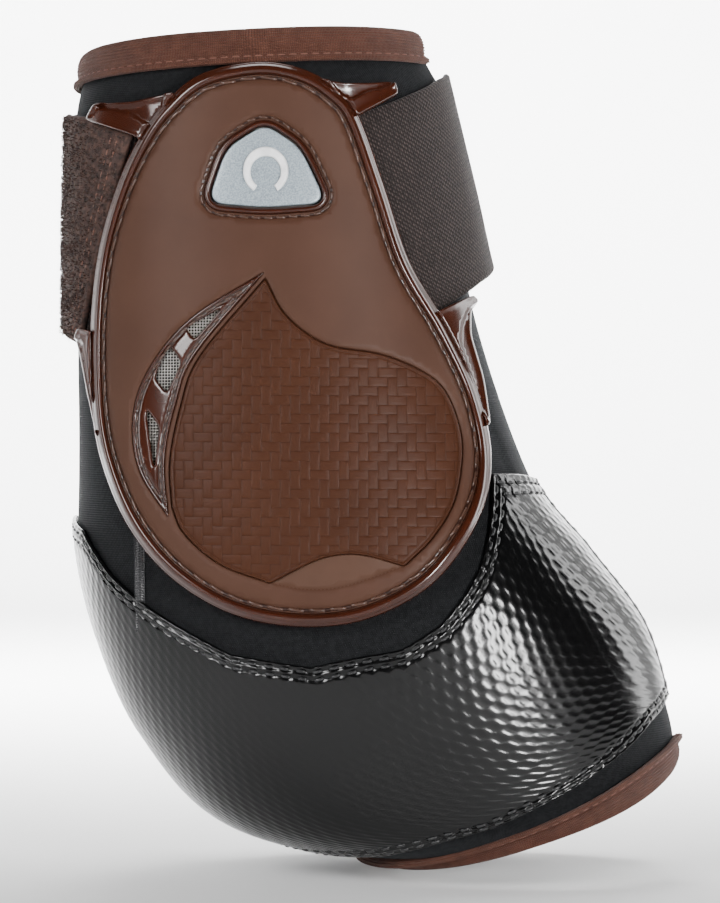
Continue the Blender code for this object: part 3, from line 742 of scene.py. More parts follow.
def moulded_look(name, colour, darker, roughness, **sockets):
    """Moulded polyurethane with a faint flow mottle in colour and gloss."""
    look = Look(name, colour, roughness, **sockets)
    look.colour(look.mottle(colour, darker, 60, 6.0))
    grain = look.noise(1400.0, 3.0)
    gloss = look.ranged(grain, start=roughness * 0.85, end=roughness * 1.2)
    look.put(look.inputs["Roughness"], gloss)
    look.bump(grain, 0.12 if roughness > 0.3 else 0.03, 0.0001)
    return look


def pad_look():
    """Moulded weave: each strip has fine fibre lines along it and its own shade, and is painted darker where it sinks
    at its ends and sides, as painted shade between the strips.
    """
    look = moulded_look("strike_pad", (0.047, 0.0155, 0.0064), (0.04, 0.013, 0.0053), 0.45,
                        Specular_IOR_Level=0.12)
    maths, place = look.maths, look.cloth(1.0, 1.0)
    counts = [maths("DIVIDE", part, size) for part, size in zip(look.along(place), WEAVE_CELL)]
    cells = [maths("FLOOR", count) for count in counts]
    shares = [maths("FRACT", count) for count in counts]
    phase = maths("FLOORED_MODULO", maths("SUBTRACT", *cells), 4.0)
    upright = maths("LESS_THAN", phase, 1.5)
    # where a point is on its strip, which is two cells long
    tall, wide = (
        maths("MULTIPLY", maths("ADD", share, half), 0.5)
        for share, half in ((shares[1], maths("LESS_THAN", phase, 0.5)),
                            (shares[0], maths("GREATER_THAN", phase, 2.5)))
    )
    rise = []
    for one, other, power in ((tall, wide, 10.0), (*shares, 8.0)):
        doubled = maths("MULTIPLY", look.mix(upright, other, one), 2.0)
        from_middle = maths("ABSOLUTE", maths("SUBTRACT", doubled, 1.0))
        rise.append(maths("SUBTRACT", 1.0, maths("POWER", from_middle, power)))
    strip = maths("MULTIPLY", rise[0], maths("ADD", 0.45, maths("MULTIPLY", rise[1], 0.55)))
    lines = [look.noise(1.0, 2.0, look.times(place, squeeze))
             for squeeze in ((0.35, 6.0, 1.0), (6.0, 0.35, 1.0))]
    fibres = look.mix(upright, *lines)
    shade = look.inputs["Base Color"].links[0].from_socket
    shade = look.mix(look.ranged(fibres, 0.35, 0.65, 0.75), (0.026, 0.0075, 0.0035), shade)
    # painted shade: each strip's colour goes darker where its relief sinks, at its ends and sides where it passes
    # under its neighbours
    look.colour(look.mix(look.ranged(strip, 0.1, 0.75, 0.45), (0.019, 0.006, 0.0026), shade))
    look.bump(fibres, 0.4, 0.0001)
    look.bump(strip, 0.8, 0.0001)
    return look


def elastic_look():
    """Brown-grey woven elastic: a herringbone of fine threads with a flecked colour."""
    look = Look("elastic", (0.03, 0.02, 0.018), 0.85, Sheen_Weight=0.08, Specular_IOR_Level=0.2)
    place = look.cloth(1.35, 1.35)
    weave = look.maths("MULTIPLY", look.wave(place, "DIAGONAL"), look.wave(place, "X"))
    shade = look.mottle((0.085, 0.058, 0.052), (0.018, 0.012, 0.011), 1700, low=0.42, high=0.58)
    look.colour(look.mix(weave, (0.009, 0.006, 0.0055), shade))
    look.bump(weave, 0.7, 0.0003)
    return look


def mottled_look(name, colour, shades, scale, detail, *finish, **sockets):
    """A finish whose colour only wanders between two shades."""
    look = Look(name, colour, *finish, **sockets)
    look.colour(look.mottle(*shades, scale, detail))
    return look


def plain_look(name, colour, *finish):
    """A hard finish with a faint mottle."""
    return mottled_look(name, colour, (colour, tuple(c * 0.8 for c in colour)), 300, 4.0, *finish)


LOOKS = {
    "neoprene": neoprene_look(),
    "lining": lining_look(),
    "binding": binding_look(),
    "cover": cover_look(),
    "elastic": elastic_look(),
    # fuzzy loop pile
    "pile": mottled_look(
        "loop_pile", (0.03, 0.014, 0.01), ((0.064, 0.03, 0.021), (0.013, 0.006, 0.0043)), 700, 6.0, 0.9,
        Sheen_Weight=0.08, Sheen_Roughness=0.4),
    # silver-grey lacquer with fine flakes
    "silver": mottled_look(
        "badge_silver", (0.3, 0.35, 0.38), ((0.36, 0.42, 0.46), (0.2, 0.24, 0.27)), 2600, 2.0, 0.4, 0.25),
    "satin": moulded_look(
        "guard_satin", (0.059, 0.0265, 0.0163), (0.052, 0.0228, 0.014), 0.5, Specular_IOR_Level=0.14),
    "gloss": moulded_look("guard_gloss", (0.037, 0.0085, 0.0035), (0.029, 0.0068, 0.0028), 0.17),
    "pad": pad_look(),
    "lens": moulded_look(
        "guard_lens", (0.068, 0.033, 0.021), (0.06, 0.029, 0.018), 0.32, Specular_IOR_Level=0.3),
    "white": plain_look("badge_white", (0.95, 0.95, 0.95), 0.4),
    "wire": plain_look("vent_wire", (0.5, 0.48, 0.45), 0.3, 0.8),
    "hook": plain_look("hook_tape", (0.03, 0.02, 0.018), 0.7),
    "gel": plain_look("gel_pad", (0.2, 0.17, 0.15), 0.4),
    "dark": plain_look("backing_cloth", (0.004, 0.004, 0.004), 0.9),
    "brown_thread": thread_look("brown_thread", (0.17, 0.06, 0.036)),
    "black_thread": thread_look("black_thread", (0.012, 0.012, 0.013), 0.35),
    "guard_thread": moulded_look(
        "guard_thread", (0.065, 0.031, 0.021), (0.05, 0.024, 0.016), 0.28, Specular_IOR_Level=0.5),
    "seam_thread": thread_look("seam_thread", (0.03, 0.03, 0.032), 0.22),
    # painted shade: the stitched grooves of the guard, badge and vent are painted in this darker brown for the shade
    # that falls in them
    "groove": plain_look("guard_groove", (0.02, 0.006, 0.003), 0.3),
    "dark_thread": thread_look("dark_thread", (0.07, 0.035, 0.028)),
}
LOOK = {name: look.material for name, look in LOOKS.items()}

# ---------------------------------------------------------------- the soft wrap


def constant(value):
    return lambda level: np.full(len(level), float(value))


def behind_fold(level):
    return fold_angle(level, SEAM_BEHIND_FOLD)


def inner_edge(level):
    """The wrap's free edge at the front: it draws in towards the collar."""
    return INNER_EDGE - 19 / (1 + np.exp((level - 0.28) / 0.06))


def along_edge(table):
    """A level that follows a table of directions, the same on both sides of the leg."""
    return lambda angle: np.interp(180 - np.abs((angle % 360) - 180), table[:, 0], table[:, 1])


WRAP_HEIGHT = 235
# The wrap's two parts: name, start, end, which of their ends are free edges, and rough length
PARTS = (
    ("body", behind_fold, inner_edge, (0, 1), 290),
    ("flap", constant(FLAP_EDGE), behind_fold, (1, 0), 70),
)


def band_place(start, end, foot, top):
    """Where a layer round the leg lies, between two ends and two levels that may vary."""

    def place(across, up, lift):
        level = np.full(len(up), RIM / 2.0)
        for _ in range(5):
            angle = start(level) + (end(level) - start(level)) * across
            low, high = foot(angle), top(angle)
            level = low + (high - low) * up
        return lifted(angle, level, lift)

    return place


def moves_with(piece, suffix):
    """The body's pieces ride on the boot, and the flap's bend over the fold."""
    if suffix == "body":
        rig.ride(piece, "boot")
        return piece
    (top_x, _, top_z), (low_x, _, low_z) = FOLD_AXIS
    across = np.array([top_z - low_z, 0, low_x - top_x]) / math.hypot(top_z - low_z, low_x - top_x)
    middle = FOLD_AXIS.mean(axis=0)
    start, end = (tuple((middle + d * across) * SCALE) for d in (1 - SEAM_BEHIND_FOLD, 8))
    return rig.blend(piece, "boot", "flap", start=start, end=end)


def swell(value, middle, width):
    """A soft bump of height 1 about a middle."""
    return np.exp(-(((value - middle) / width) ** 2))


def neoprene_relief(length, height):
    """Soft unevenness of padded cloth, pinched under the tapes and swollen just past them."""

    def relief(along, upward, u, v):
        from_top, from_foot = height - v, v
        puff = 1.1 * swell(from_top, 14, 6) + 0.8 * swell(from_foot, 12, 5)
        pinch = -0.9 * swell(from_top, 0, 6) - 0.9 * swell(from_foot, 0, 5)
        uneven = 0.3 * np.sin(along / 17 + 1.3) * np.sin(upward / 23)
        uneven = uneven + 0.14 * np.sin(along / 7 + upward / 11)
        creases = 0
        for place, slant, width, depth in CREASES:
            creases = creases - depth * swell(length - u, place + slant * (v - 110), width)
        creases = creases * swell(v, 110, 45)
        return puff + pinch + uneven + creases

    return relief


# Creases near the free edge: distance from it, slant, width and depth
CREASES = ((22, 0.06, 2.2, 0.8), (30, -0.05, 2.8, 0.6), (41, 0.1, 3.0, 0.5))


def true_size(place):
    """A band's length round its middle and height at its middle, in metres."""
    share, half = np.linspace(0, 1, 60), np.full(60, 0.5)
    lines = (place(share, half, 0 * half), place(half, share, 0 * half))
    return tuple(np.linalg.norm(np.diff(line, axis=0), axis=1).sum() * SCALE for line in lines)


def cut_area(place):
    """A band's own area, in square metres: it is cut to a curved shape."""
    across, up = (a.ravel() for a in np.meshgrid(*[np.linspace(0, 1, 60)] * 2, indexing="ij"))
    grid = place(across, up, 0 * up).reshape(60, 60, 3)
    along, upward = np.diff(grid, axis=0)[:, :-1], np.diff(grid, axis=1)[:-1]
    return np.linalg.norm(np.cross(along, upward), axis=2).sum() * SCALE**2


def cloth_sheet(piece, place, under):
    """Declares a sheet that was cut to the band's own shape."""
    width, length = true_size(place)
    area = cut_area(place)
    grow = max(1.0, area / (width * length))
    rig.sheet(piece, flat=(width * grow, length), held="stretched", rests_on=[under], area=area)


def build_padding():
    for suffix, start, end, free, length in PARTS:
        place = band_place(start, end, constant(RIM), constant(0))
        size, ends = (length, WRAP_HEIGHT), (*free, 1, 1)
        neoprene = slab(
            f"neoprene_wrap_{suffix}", place, size, (-5.0, 0.0), LOOK["neoprene"], "neoprene",
            step=2.0, ends=ends, relief=neoprene_relief(*size), body=None)
        lining = slab(
            f"lining_wrap_{suffix}", place, size, (-7.4, -5.2), LOOK["lining"], "lining",
            step=4.0, ends=ends, body=None)
        for piece, layer in ((neoprene, "neoprene"), (lining, "lining")):
            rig.replaces(piece, f"{layer}_{suffix}")
            moves_with(piece, suffix)
        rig.padded(neoprene, fill=0.5)
        cloth_sheet(lining, place, neoprene.name)


def tape(name, start, end, level, path, free):
    """A ribbed tape folded over an edge: a closed profile of (lift, rise) swept round the leg."""
    profile = evenly(np.array(path, float), 0.14 * FINE)
    count = len(profile)
    along, out = run_along(profile), profile - ring_at(profile, 1.0)
    profile = profile + out * (0.17 * np.cos(along * math.tau / TAPE_RIB))[:, None]
    middle = profile.mean(axis=0)
    edge = np.array([float(level)])
    first, last = start(edge)[0], end(edge)[0]
    length = abs(last - first) * 0.92
    us = stations(length, 1.2, 3.5, free[0], free[1])
    points, cloth = [], []
    for u in us:
        size = 1.0
        for kept, distance in ((free[0], u), (free[1], length - u)):
            if kept:
                size = min(size, math.sqrt(1 - 0.8 * (1 - min(distance / 3.5, 1)) ** 2))
        ring = middle + (profile - middle) * size
        angle = np.full(count, first + (last - first) * u / length)
        points.append(lifted(angle, np.full(count, float(level)), ring[:, 0], ring[:, 1]))
        cloth.append(np.stack([np.full(count, u), along], axis=1))
    flip = twice_area(profile) > 0
    faces = grid_faces(len(us), count, wrap=True, flip=flip)
    near = list(range(count))
    far = list(range((len(us) - 1) * count, len(us) * count))
    faces += [near[::-1], far] if flip else [near, far[::-1]]
    return add_mesh(name, np.vstack(points), faces, LOOK["binding"], "binding", None, uv=np.vstack(cloth))


TAPE_RIB = 0.85
# The tape's section from its outer hem to its inner hem, as (lift, rise over the edge)
COLLAR_FOLD = [
    (0.1, -7.4), (1.1, -8.0), (2.3, -7.9), (2.6, -7.2), (1.9, -6.6), (1.2, -6.1), (1.2, -5.3), (1.5, -3.5),
    (1.3, -1.4), (0.6, 0.4), (-0.8, 1.5), (-3.0, 2.1), (-5.4, 1.9), (-7.3, 0.9), (-8.4, -0.8), (-8.8, -3.5),
    (-8.8, -7.0), (-8.0, -7.6), (-7.6, -4.0), (-7.3, -1.0), (-5.5, 0.6), (-3.0, 0.9), (-1.0, 0.5),
    (0.1, -1.0), (0.2, -4.0),
]


def build_bindings():
    rim_fold = [(lift, -rise - 0.9) for lift, rise in COLLAR_FOLD]
    for suffix, start, end, free, _ in PARTS:
        for edge, level, fold in (("collar", 0, COLLAR_FOLD), ("rim", RIM, rim_fold)):
            piece = tape(f"{edge}_tape_{suffix}", start, end, level, fold, free)
            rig.replaces(piece, f"{edge}_binding_{suffix}")
            moves_with(piece, suffix)
            at = np.full(260, float(level))
            angle = start(at) + (end(at) - start(at)) * np.linspace(0.01, 0.99, 260)
            path = path_over(lambda lift: lifted(angle, at, lift, fold[5][1]), 1.25)
            row = stitches(f"{edge}_tape_stitches_{suffix}", path, LOOK["brown_thread"], "binding",
                           length=2.4, gap=0.7, radius=0.24, body=None)
            moves_with(row, suffix)


LATTICE_DEPTH = 0.04
HEM_ROWS = (2.4, 5.9)  # the cover's two rows of stitches, from its edges
HEM_FURROW = (0.3, 0.9)  # depth and half width of the furrow that a row lies in
HEM_PIT = (0.75, 0.75)  # depth and radius of the pit where the thread goes down
HEM_STITCH, HEM_GAP = 3.0, 1.5


def hem_rows(length, height, free):
    """The rows of stitches along a cover's edges, as (across, up) shares."""
    first, rows = HEM_ROWS[0], []
    left, right = (first / length if end else 0 for end in free)
    for row in HEM_ROWS:
        for at in (row / height, 1 - row / height):
            rows.append((np.linspace(left, 1 - right, 400), np.full(400, at)))
    for row in HEM_ROWS:
        ups = np.linspace(first / height, 1 - first / height, 160)
        rows += [(np.full(160, row / length), ups)] if free[0] else []
        rows += [(np.full(160, 1 - row / length), ups)] if free[1] else []
    return rows


def pits_along(place, rows):
    """The (across, up) shares of the pits between the stitches of these rows."""
    pits = []
    for across, up in rows:
        line = place(across, up, 0 * up)
        along = run_along(line)
        number = max(1, int(along[-1] / (HEM_STITCH + HEM_GAP)))
        at = np.linspace(0, along[-1], number + 1)
        pits.append(np.stack([np.interp(at, along, across), np.interp(at, along, up)], axis=1))
    return np.vstack(pits)


def cover_relief(length, height, free, pits):
    """The lattice of bumps, and the puckered furrows and pits of the stitches."""

    def relief(along, upward, u, v):
        bumps = np.cos(math.tau * along / LATTICE[0]) * np.cos(math.tau * upward / LATTICE[1])
        lattice = LATTICE_DEPTH * bumps
        edges = [v, height - v]
        edges += [length - u] if free[1] else []
        edges += [u] if free[0] else []
        furrow, pucker = np.zeros_like(along), np.zeros_like(along)
        for distance in edges:
            for row in HEM_ROWS:
                furrow = np.minimum(furrow, -HEM_FURROW[0] * swell(distance, row, HEM_FURROW[1]))
            pucker = np.maximum(pucker, 0.22 * swell(distance, sum(HEM_ROWS) / 2, 1.2))
        # true lengths along each row, against the slab's own measure
        stretch_u = (along[-1:] - along[:1]) / length
        stretch_v = (upward[:, -1:] - upward[:, :1]) / height
        for share_u, share_v in pits:
            near_u = np.flatnonzero(np.abs(u[:, 0] - share_u * length) < 3)
            near_v = np.flatnonzero(np.abs(v[0] - share_v * height) < 3)
            if len(near_u) and len(near_v):
                part = np.ix_(near_u, near_v)
                off_u = (u[part] - share_u * length) * stretch_u[:, near_v]
                off_v = (v[part] - share_v * height) * stretch_v[near_u]
                pit = -HEM_PIT[0] * np.exp(-(off_u**2 + off_v**2) / HEM_PIT[1] ** 2)
                furrow[part] = np.minimum(furrow[part], pit)
        return lattice + furrow + pucker

    return relief


def build_cover():
    foot, top = along_edge(COVER_FOOT), along_edge(COVER_TOP)
    for suffix, start, end, free, _ in PARTS:
        place = band_place(start, end, foot, top)
        length, height = (value / SCALE for value in true_size(place))
        rows = hem_rows(length, height, free)
        cover = slab(
            f"cup_cover_sheet_{suffix}", place, (length, height), (0.3, 1.7), LOOK["cover"], "cup_cover",
            step=0.55, ends=(*free, 1, 1),
            relief=cover_relief(length, height, free, pits_along(place, rows)), body=None)
        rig.replaces(cover, f"cup_cover_{suffix}")
        moves_with(cover, suffix)
        cloth_sheet(cover, place, f"neoprene_wrap_{suffix}")
        for number, (across, up) in enumerate(rows):
            path = path_over(lambda lift: place(across, up, np.full(len(up), lift)), 1.55)
            stitched = stitches(f"cover_stitches_{suffix}_{number}", path, LOOK["black_thread"],
                                "cup_cover", length=HEM_STITCH, gap=HEM_GAP, radius=0.42, body=None)
            moves_with(stitched, suffix)


PANEL_SEAM_X, PANEL_SEAM_TOP, PANEL_SEAM_FOOT = -43.8, 94, 66


def build_panel_seam():
    """The overlocked seam of the neoprene, between the guard and the cup's cover."""
    height, sides = np.linspace(PANEL_SEAM_TOP, PANEL_SEAM_FOOT, 120), 8
    line, out = path_over(lambda lift: inner_side(0 * height + PANEL_SEAM_X, height, lift), 0.3)
    ahead = np.gradient(line, axis=0)
    side = np.cross(ahead, out)
    side /= np.linalg.norm(side, axis=1)[:, None]
    bead = [line + 1.6 * math.cos(t) * side + 0.8 * math.sin(t) * out
            for t in np.arange(sides) * math.tau / sides]
    points = np.stack(bead, axis=1).reshape(-1, 3)
    faces = grid_faces(len(line), sides, wrap=True)
    faces += [list(range(sides))[::-1], list(range(len(points) - sides, len(points)))]
    add_mesh("panel_seam", points, faces, LOOK["neoprene"], "neoprene", uv=points[:, [0, 2]])
    across, share = [], np.linspace(-1, 1, 5)[:, None]
    for k in range(0, 118, 3):
        centre = line[k] + share * 1.2 * side[k] + (0.85 - 0.3 * share**2) * out[k]
        slant = share * 0.5 * ahead[k] / np.linalg.norm(ahead[k])
        across += [centre - slant, centre + slant]
    threads("panel_seam_threads", across, 0.3, LOOK["seam_thread"], "neoprene")


# ---------------------------------------------------------------- the straps


def strap_place(start, end, shape):
    def place(across, up, lift):
        first = start[0] + (start[1] - start[0]) * up
        last = end[0] + (end[1] - end[0]) * up
        angle = first + (last - first) * across
        low, high = (np.interp(angle, STRAP_EDGES[:, 0], STRAP_EDGES[:, k]) for k in (1, 2))
        height = low + (high - low) * up
        return lifted(angle, level_at(angle, height), lift + shape(angle, up))

    return place


def front_lift(angle, up):
    """How far the front strap stands off: it bridges the hollow of the front."""
    bridge = np.cos(np.radians(np.clip(angle * 90 / 55, -90, 90))) ** 2
    over_pile = np.interp(angle, [40, 76], [0, 5.8])
    return 1.0 + over_pile + bridge * (5.2 - 4.6 * up)


def under_front(angle, up):
    """The lift of a layer on the front strap's inner face."""
    return front_lift(angle, up) - 1.3


def elastic_relief(along, upward, u, v):
    """Fine cross ribs, broken up by the weave's other thread."""
    return 0.04 * np.cos(math.tau * along / 1.5 + 1.2 * np.cos(math.tau * upward / 3.0))


def hinge_blend(piece, joint, before, after, reach):
    """Bends a strap between two bodies over a joint's axis."""
    place, axis, along = (np.array(v) for v in JOINT_AXES[joint])
    along = along - axis * along.dot(axis) / axis.dot(axis)
    along /= np.linalg.norm(along)
    start, end = (tuple(place + reach * d * SCALE * along) for d in (-1, 1))
    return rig.blend(piece, before, after, start=start, end=end)


# Each hinge of the front strap: a point on it, its axis, and the way the strap runs there
JOINT_AXES = {
    "strap_swing": ((0.0488, -0.0233, 0.161), (0.3786, 0.2808, -0.882), (0.1, 1.0, 0.3)),
    "tail_peel": ((0.0059, 0.0553, 0.1614), (0.0876, 0.0619, -0.9942), (-1.0, 0.05, 0.0)),
}
STRAP_SPLIT = 20
TAIL_END = 118
PULL_TAB_END = 127


def flat_on(angle, up):
    """The lift of a layer that lies on the skin."""
    return 0 * angle


def pile_relief(along, upward, u, v):
    return 0.25 * np.sin(along * 1.9 + 2 * np.sin(upward)) * np.sin(upward * 1.7)


def strap_row(name, turn, shape, lift, look, slot, **measures):
    """A row of stitches up across a strap, at the directions of its foot and top."""
    share = np.linspace(0.03, 0.97, 200)
    place = strap_place(turn, turn, shape)
    path = path_over(lambda height: place(0 * share, share, height + 0 * share), lift)
    stitches(name, path, look, slot, gap=0.8, **measures)


def build_straps():
    def elastic(name, span, shape, size, lifts, **kind):
        return slab(name, strap_place(*span, shape), size, lifts, LOOK["elastic"], "elastic",
                    relief=elastic_relief, **kind)

    rear = elastic("rear_elastic", ((84, 84), (209, 234.5)), flat_on, (150, 57), (0.6, 2.5), step=(1.2, 2.0))
    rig.replaces(rear, "rear_strap")
    pile_place = strap_place((84, 84), (208.5, 234), flat_on)
    pile = slab("pile_backing", pile_place, (150, 55), (2.6, 4.4), LOOK["pile"], "pile", step=1.2,
                relief=pile_relief)
    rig.replaces(pile, "loop_pile")
    build_tufts(pile_place)

    split, tail = (STRAP_SPLIT, STRAP_SPLIT), (TAIL_END, TAIL_END)
    near, far = (
        elastic(name, span, front_lift, (length, 57), (0.0, 1.8), step=(0.45, 0.9), ends=rounded_ends,
                body=None)
        for name, span, length, rounded_ends in (
            ("front_elastic_near", ((-46, -65.5), split), 85, (1, 0, 1, 1)),
            ("front_elastic_far", (split, tail), 95, (0, 1, 1, 1)))
    )
    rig.replaces(near, "front_strap_root", "front_strap")
    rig.replaces(far, "strap_tail")
    hinge_blend(near, "strap_swing", "boot", "strap", 7)
    hinge_blend(far, "tail_peel", "strap", "tail", 7)

    hook = slab(
        "hook_tape", strap_place((86, 86), (TAIL_END - 1, TAIL_END - 1), under_front), (35, 55), (0.0, 1.2),
        LOOK["hook"], "hook", step=2.0, body="tail")
    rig.replaces(hook, "hook_patch")
    tab = slab(
        "pull_tab_tape", strap_place((TAIL_END - 3, TAIL_END - 3), (PULL_TAB_END, PULL_TAB_END), front_lift),
        (13, 56), (0.2, 3.4), LOOK["binding"], "binding", step=0.8, body="tail",
        relief=lambda along, upward, u, v: 0.08 * np.cos(along * math.tau / TAPE_RIB))
    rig.replaces(tab, "pull_tab")
    for number, (turn, lift) in enumerate(((TAIL_END - 5.0, 1.85), (TAIL_END - 1.5, 3.3))):
        strap_row(f"tail_stitches_{number}", (turn, turn), front_lift, lift, LOOK["dark_thread"], "elastic",
                  length=2.4, radius=0.27, body="tail")
    # the pile's end is stitched down beside the guard's rear ears
    for number, turn in enumerate(((204.5, 229.5), (202, 226.8))):
        strap_row(f"pile_stitches_{number}", turn, flat_on, 4.3, LOOK["brown_thread"], "binding",
                  length=2.2, radius=0.26)


def build_tufts(place):
    """Short bent fibres all over the pile."""
    chance = np.random.default_rng(7)
    number = 1500 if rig.quick() else 9000
    across, up = chance.uniform(0.005, 0.995, number), chance.uniform(0.01, 0.99, number)
    root = place(across, up, np.full(number, 4.2))
    out = place(across, up, np.full(number, 5.2)) - root
    lean = chance.normal(0, 0.55, (number, 3))
    lean -= out * (lean * out).sum(axis=1)[:, None]
    tall = chance.uniform(0.5, 1.4, number)
    bend = ((0, 0), (0.5, 0.15), (0.95, 0.6), (0.75, 1.2))  # of each fibre, outwards and sideways
    lines = [np.array([r + up_by * h * o + side_by * l for up_by, side_by in bend])
             for r, o, l, h in zip(root, out, lean, tall)]
    threads("pile_loops", lines, np.array([0.13, 0.12, 0.1, 0.05]), LOOK["pile"], "pile", sides=3)


# ---------------------------------------------------------------- the guard


def in_loop(points, loop):
    return inside_depth(points, loop) > 0


def plate(name, outline, lift_of, look, slot, holes=(), rings=(), spacing=1.3, floor=3.0, grid=None,
          paint=None):
    """A moulded plate on the inner side whose face has the height lift_of(points).

    rings are loops along which its mesh gets an edge, for crisp steps; holes go through it.
    """
    spacing *= FINE
    flat, edges = [], []
    loops = [evenly(loop, spacing * 0.7) for loop in (outline, *holes, *rings)]
    for loop in loops:
        edges += [(len(flat) + k, len(flat) + (k + 1) % len(loop)) for k in range(len(loop))]
        flat += loop.tolist()
    low, high = outline.min(axis=0), outline.max(axis=0)
    step = spacing if grid is None else grid * FINE
    inner = np.stack([a.ravel() for a in np.meshgrid(
        np.arange(low[0], high[0], step), np.arange(low[1], high[1], step), indexing="ij")], axis=1)
    keep = inside_depth(inner, outline) > 0.5 * step
    for loop in (*holes, *rings):
        keep &= np.abs(inside_depth(inner, loop)) > 0.45 * step
    for hole in holes:
        keep &= ~in_loop(inner, hole)
    flat += inner[keep].tolist()
    found = delaunay_2d_cdt([Vector(p) for p in flat], edges, [], 0, 1e-5)
    flat, triangles = np.array([tuple(v) for v in found[0]]), np.array(found[2])
    middle = flat[triangles].mean(axis=1)
    keep = in_loop(middle, loops[0])
    for hole in loops[1:1 + len(holes)]:
        keep &= ~in_loop(middle, hole)
    triangles = triangles[keep]
    a, b, c = (flat[triangles[:, k]] for k in range(3))
    area = (b[:, 0] - a[:, 0]) * (c[:, 1] - a[:, 1]) - (c[:, 0] - a[:, 0]) * (b[:, 1] - a[:, 1])
    triangles, area = triangles[np.abs(area) > 1e-7], area[np.abs(area) > 1e-7]
    triangles[area < 0] = triangles[area < 0][:, ::-1]
    used, index = np.unique(triangles, return_inverse=True)
    flat, triangles = flat[used], index.reshape(-1, 3)
    sides = dict.fromkeys((int(p), int(q)) for t in triangles for p, q in zip(t, np.roll(t, -1)))
    border = [(p, q) for p, q in sides if (q, p) not in sides]
    border_points = sorted({p for side in border for p in side})
    below = {p: len(flat) + k for k, p in enumerate(border_points)}
    lift = np.concatenate([lift_of(flat), np.full(len(border_points), floor)])
    flat = np.vstack([flat, flat[border_points]])
    points = inner_side(flat[:, 0], flat[:, 1], lift)
    faces = triangles.tolist() + [(q, p, below[p], below[q]) for p, q in border]
    # the second finish is the grooves' painted shade, the third the lens
    also = [LOOK["groove"], LOOK["lens"]] if paint else []
    piece = add_mesh(name, points, faces, look, slot, uv=flat, also=also)
    if paint:
        painted = np.zeros(len(faces), np.int32)
        painted[: len(triangles)] = paint(flat[triangles].mean(axis=1))
        piece.data.polygons.foreach_set("material_index", painted)
    return piece


def edge_round(depth, radius):
    """How far a rounded edge drops below its top, at a depth inside the outline."""
    share = np.clip(1 - depth / radius, 0, 1)
    return radius * (1 - np.sqrt(np.clip(1 - share**2, 0, 1)))


def swept_ring(name, outline, profile, look, slot):
    """A moulding along a closed outline: (distance inside it, lift) from its outer foot inwards."""
    flat = np.vstack([ring_at(outline, distance) for distance, _ in profile])
    lifts = np.repeat([lift for _, lift in profile], len(outline))
    points = inner_side(flat[:, 0], flat[:, 1], lifts)
    flip = twice_area(ring_at(outline, profile[0][0])) < 0
    faces = grid_faces(len(profile), len(outline), wrap=True, flip=flip)
    return add_mesh(name, points, faces, look, slot, uv=flat)


GROOVE = 4.4  # from the guard's outline to the middle of its stitched groove
BADGE_GROOVE = 2.95  # outwards from the badge to the middle of its groove
VENT_GROOVE = 1.15  # inwards from the vent's outline to the middle of its groove
FACE = 5.5
RIM_PROFILE = [
    (1.4, 0.6), (0.5, 0.9), (0.0, 1.7), (-0.2, 3.0), (-0.15, 4.2), (0.05, 4.9), (0.3, 5.35),
    (0.5, 5.45), (0.7, 5.6), (1.0, 6.0), (1.4, 6.4), (1.9, 6.65), (2.4, 6.7), (2.8, 6.55), (3.15, 6.2),
    (3.4, 5.7), (3.55, 5.0), (3.7, 4.0),
]
BEZEL_PROFILE = [
    (-2.15, 4.2), (-2.1, 5.4), (-1.9, 6.1), (-1.5, 6.55), (-1.1, 6.6), (-0.7, 6.3), (-0.45, 5.6), (-0.4, 4.2),
]
# The guard's four ears, between which the straps pass: outline, share rounded off at its
# corners, and the loop inside which its face steps down
EARS = {
    "rear_top": (
        [(-33, 209), (-34.5, 212), (-45.8, 210), (-57, 210.3), (-59.6, 206), (-46, 200.8), (-39, 197)], 0.18,
        [(-38, 213), (-50, 211.5), (-56.5, 209), (-47, 206.5), (-41, 203.5), (-37, 208)],
    ),
    "rear_low": (
        [(-54, 147), (-61.7, 149), (-62.8, 146.5), (-61.3, 142), (-60.4, 138), (-58.9, 131), (-56, 119),
         (-52, 118), (-53, 135)], 0.2,
        [(-70, 145.5), (-61, 145.5), (-59.4, 142), (-58.4, 136), (-57.4, 130), (-55.6, 121), (-70, 119)],
    ),
    "front_top": (
        [(0, 212), (5.2, 215.6), (11.7, 214.6), (18.2, 214.9), (25.5, 215.8), (26.6, 212.4),
         (15.8, 206), (9, 202)], 0.18,
        [(8, 218), (9.5, 212.5), (13.5, 210), (18, 212.2), (24, 214.2), (26, 218)],
    ),
    "front_low": (
        [(31, 150), (37.6, 153.4), (47.3, 158.2), (48.9, 156.8), (46.7, 153.6), (46.6, 147), (50.1, 135.4),
         (51.9, 122.4), (47, 121), (40, 136)], 0.2,
        [(47.5, 155.6), (44.6, 152.2), (43.4, 148.4), (43.6, 143.2), (46.7, 134.1), (50.3, 124.5),
         (60, 120), (60, 160)],
    ),
}


def pad_weave(points):
    """A 2/2 twill of flat strips, two cells long."""
    cells = points / WEAVE_CELL
    share_x, share_z = (cells - np.floor(cells)).T
    phase = (np.floor(cells[:, 0]) - np.floor(cells[:, 1])) % 4
    # where along its strip a point is: an upright strip is two cells tall, a level one two wide
    along = np.where(phase < 2, (share_z + (phase == 0)) / 2, (share_x + (phase == 3)) / 2)
    across = np.where(phase < 2, share_x, share_z)
    crown = np.clip(1 - np.abs(2 * across - 1) ** 4, 0, 1)
    arch = np.sin(math.pi * np.clip(along, 0, 1)) ** 0.45
    return 0.13 * arch + 0.03 * crown


def guard_row(name, loop, lift, length, gap, radius, slant):
    """A closed row of stitches on the guard."""
    stitches(name, on_guard(loop, lift), LOOK["guard_thread"], "guard_satin", length, gap, radius,
             slant=slant, closed=True)


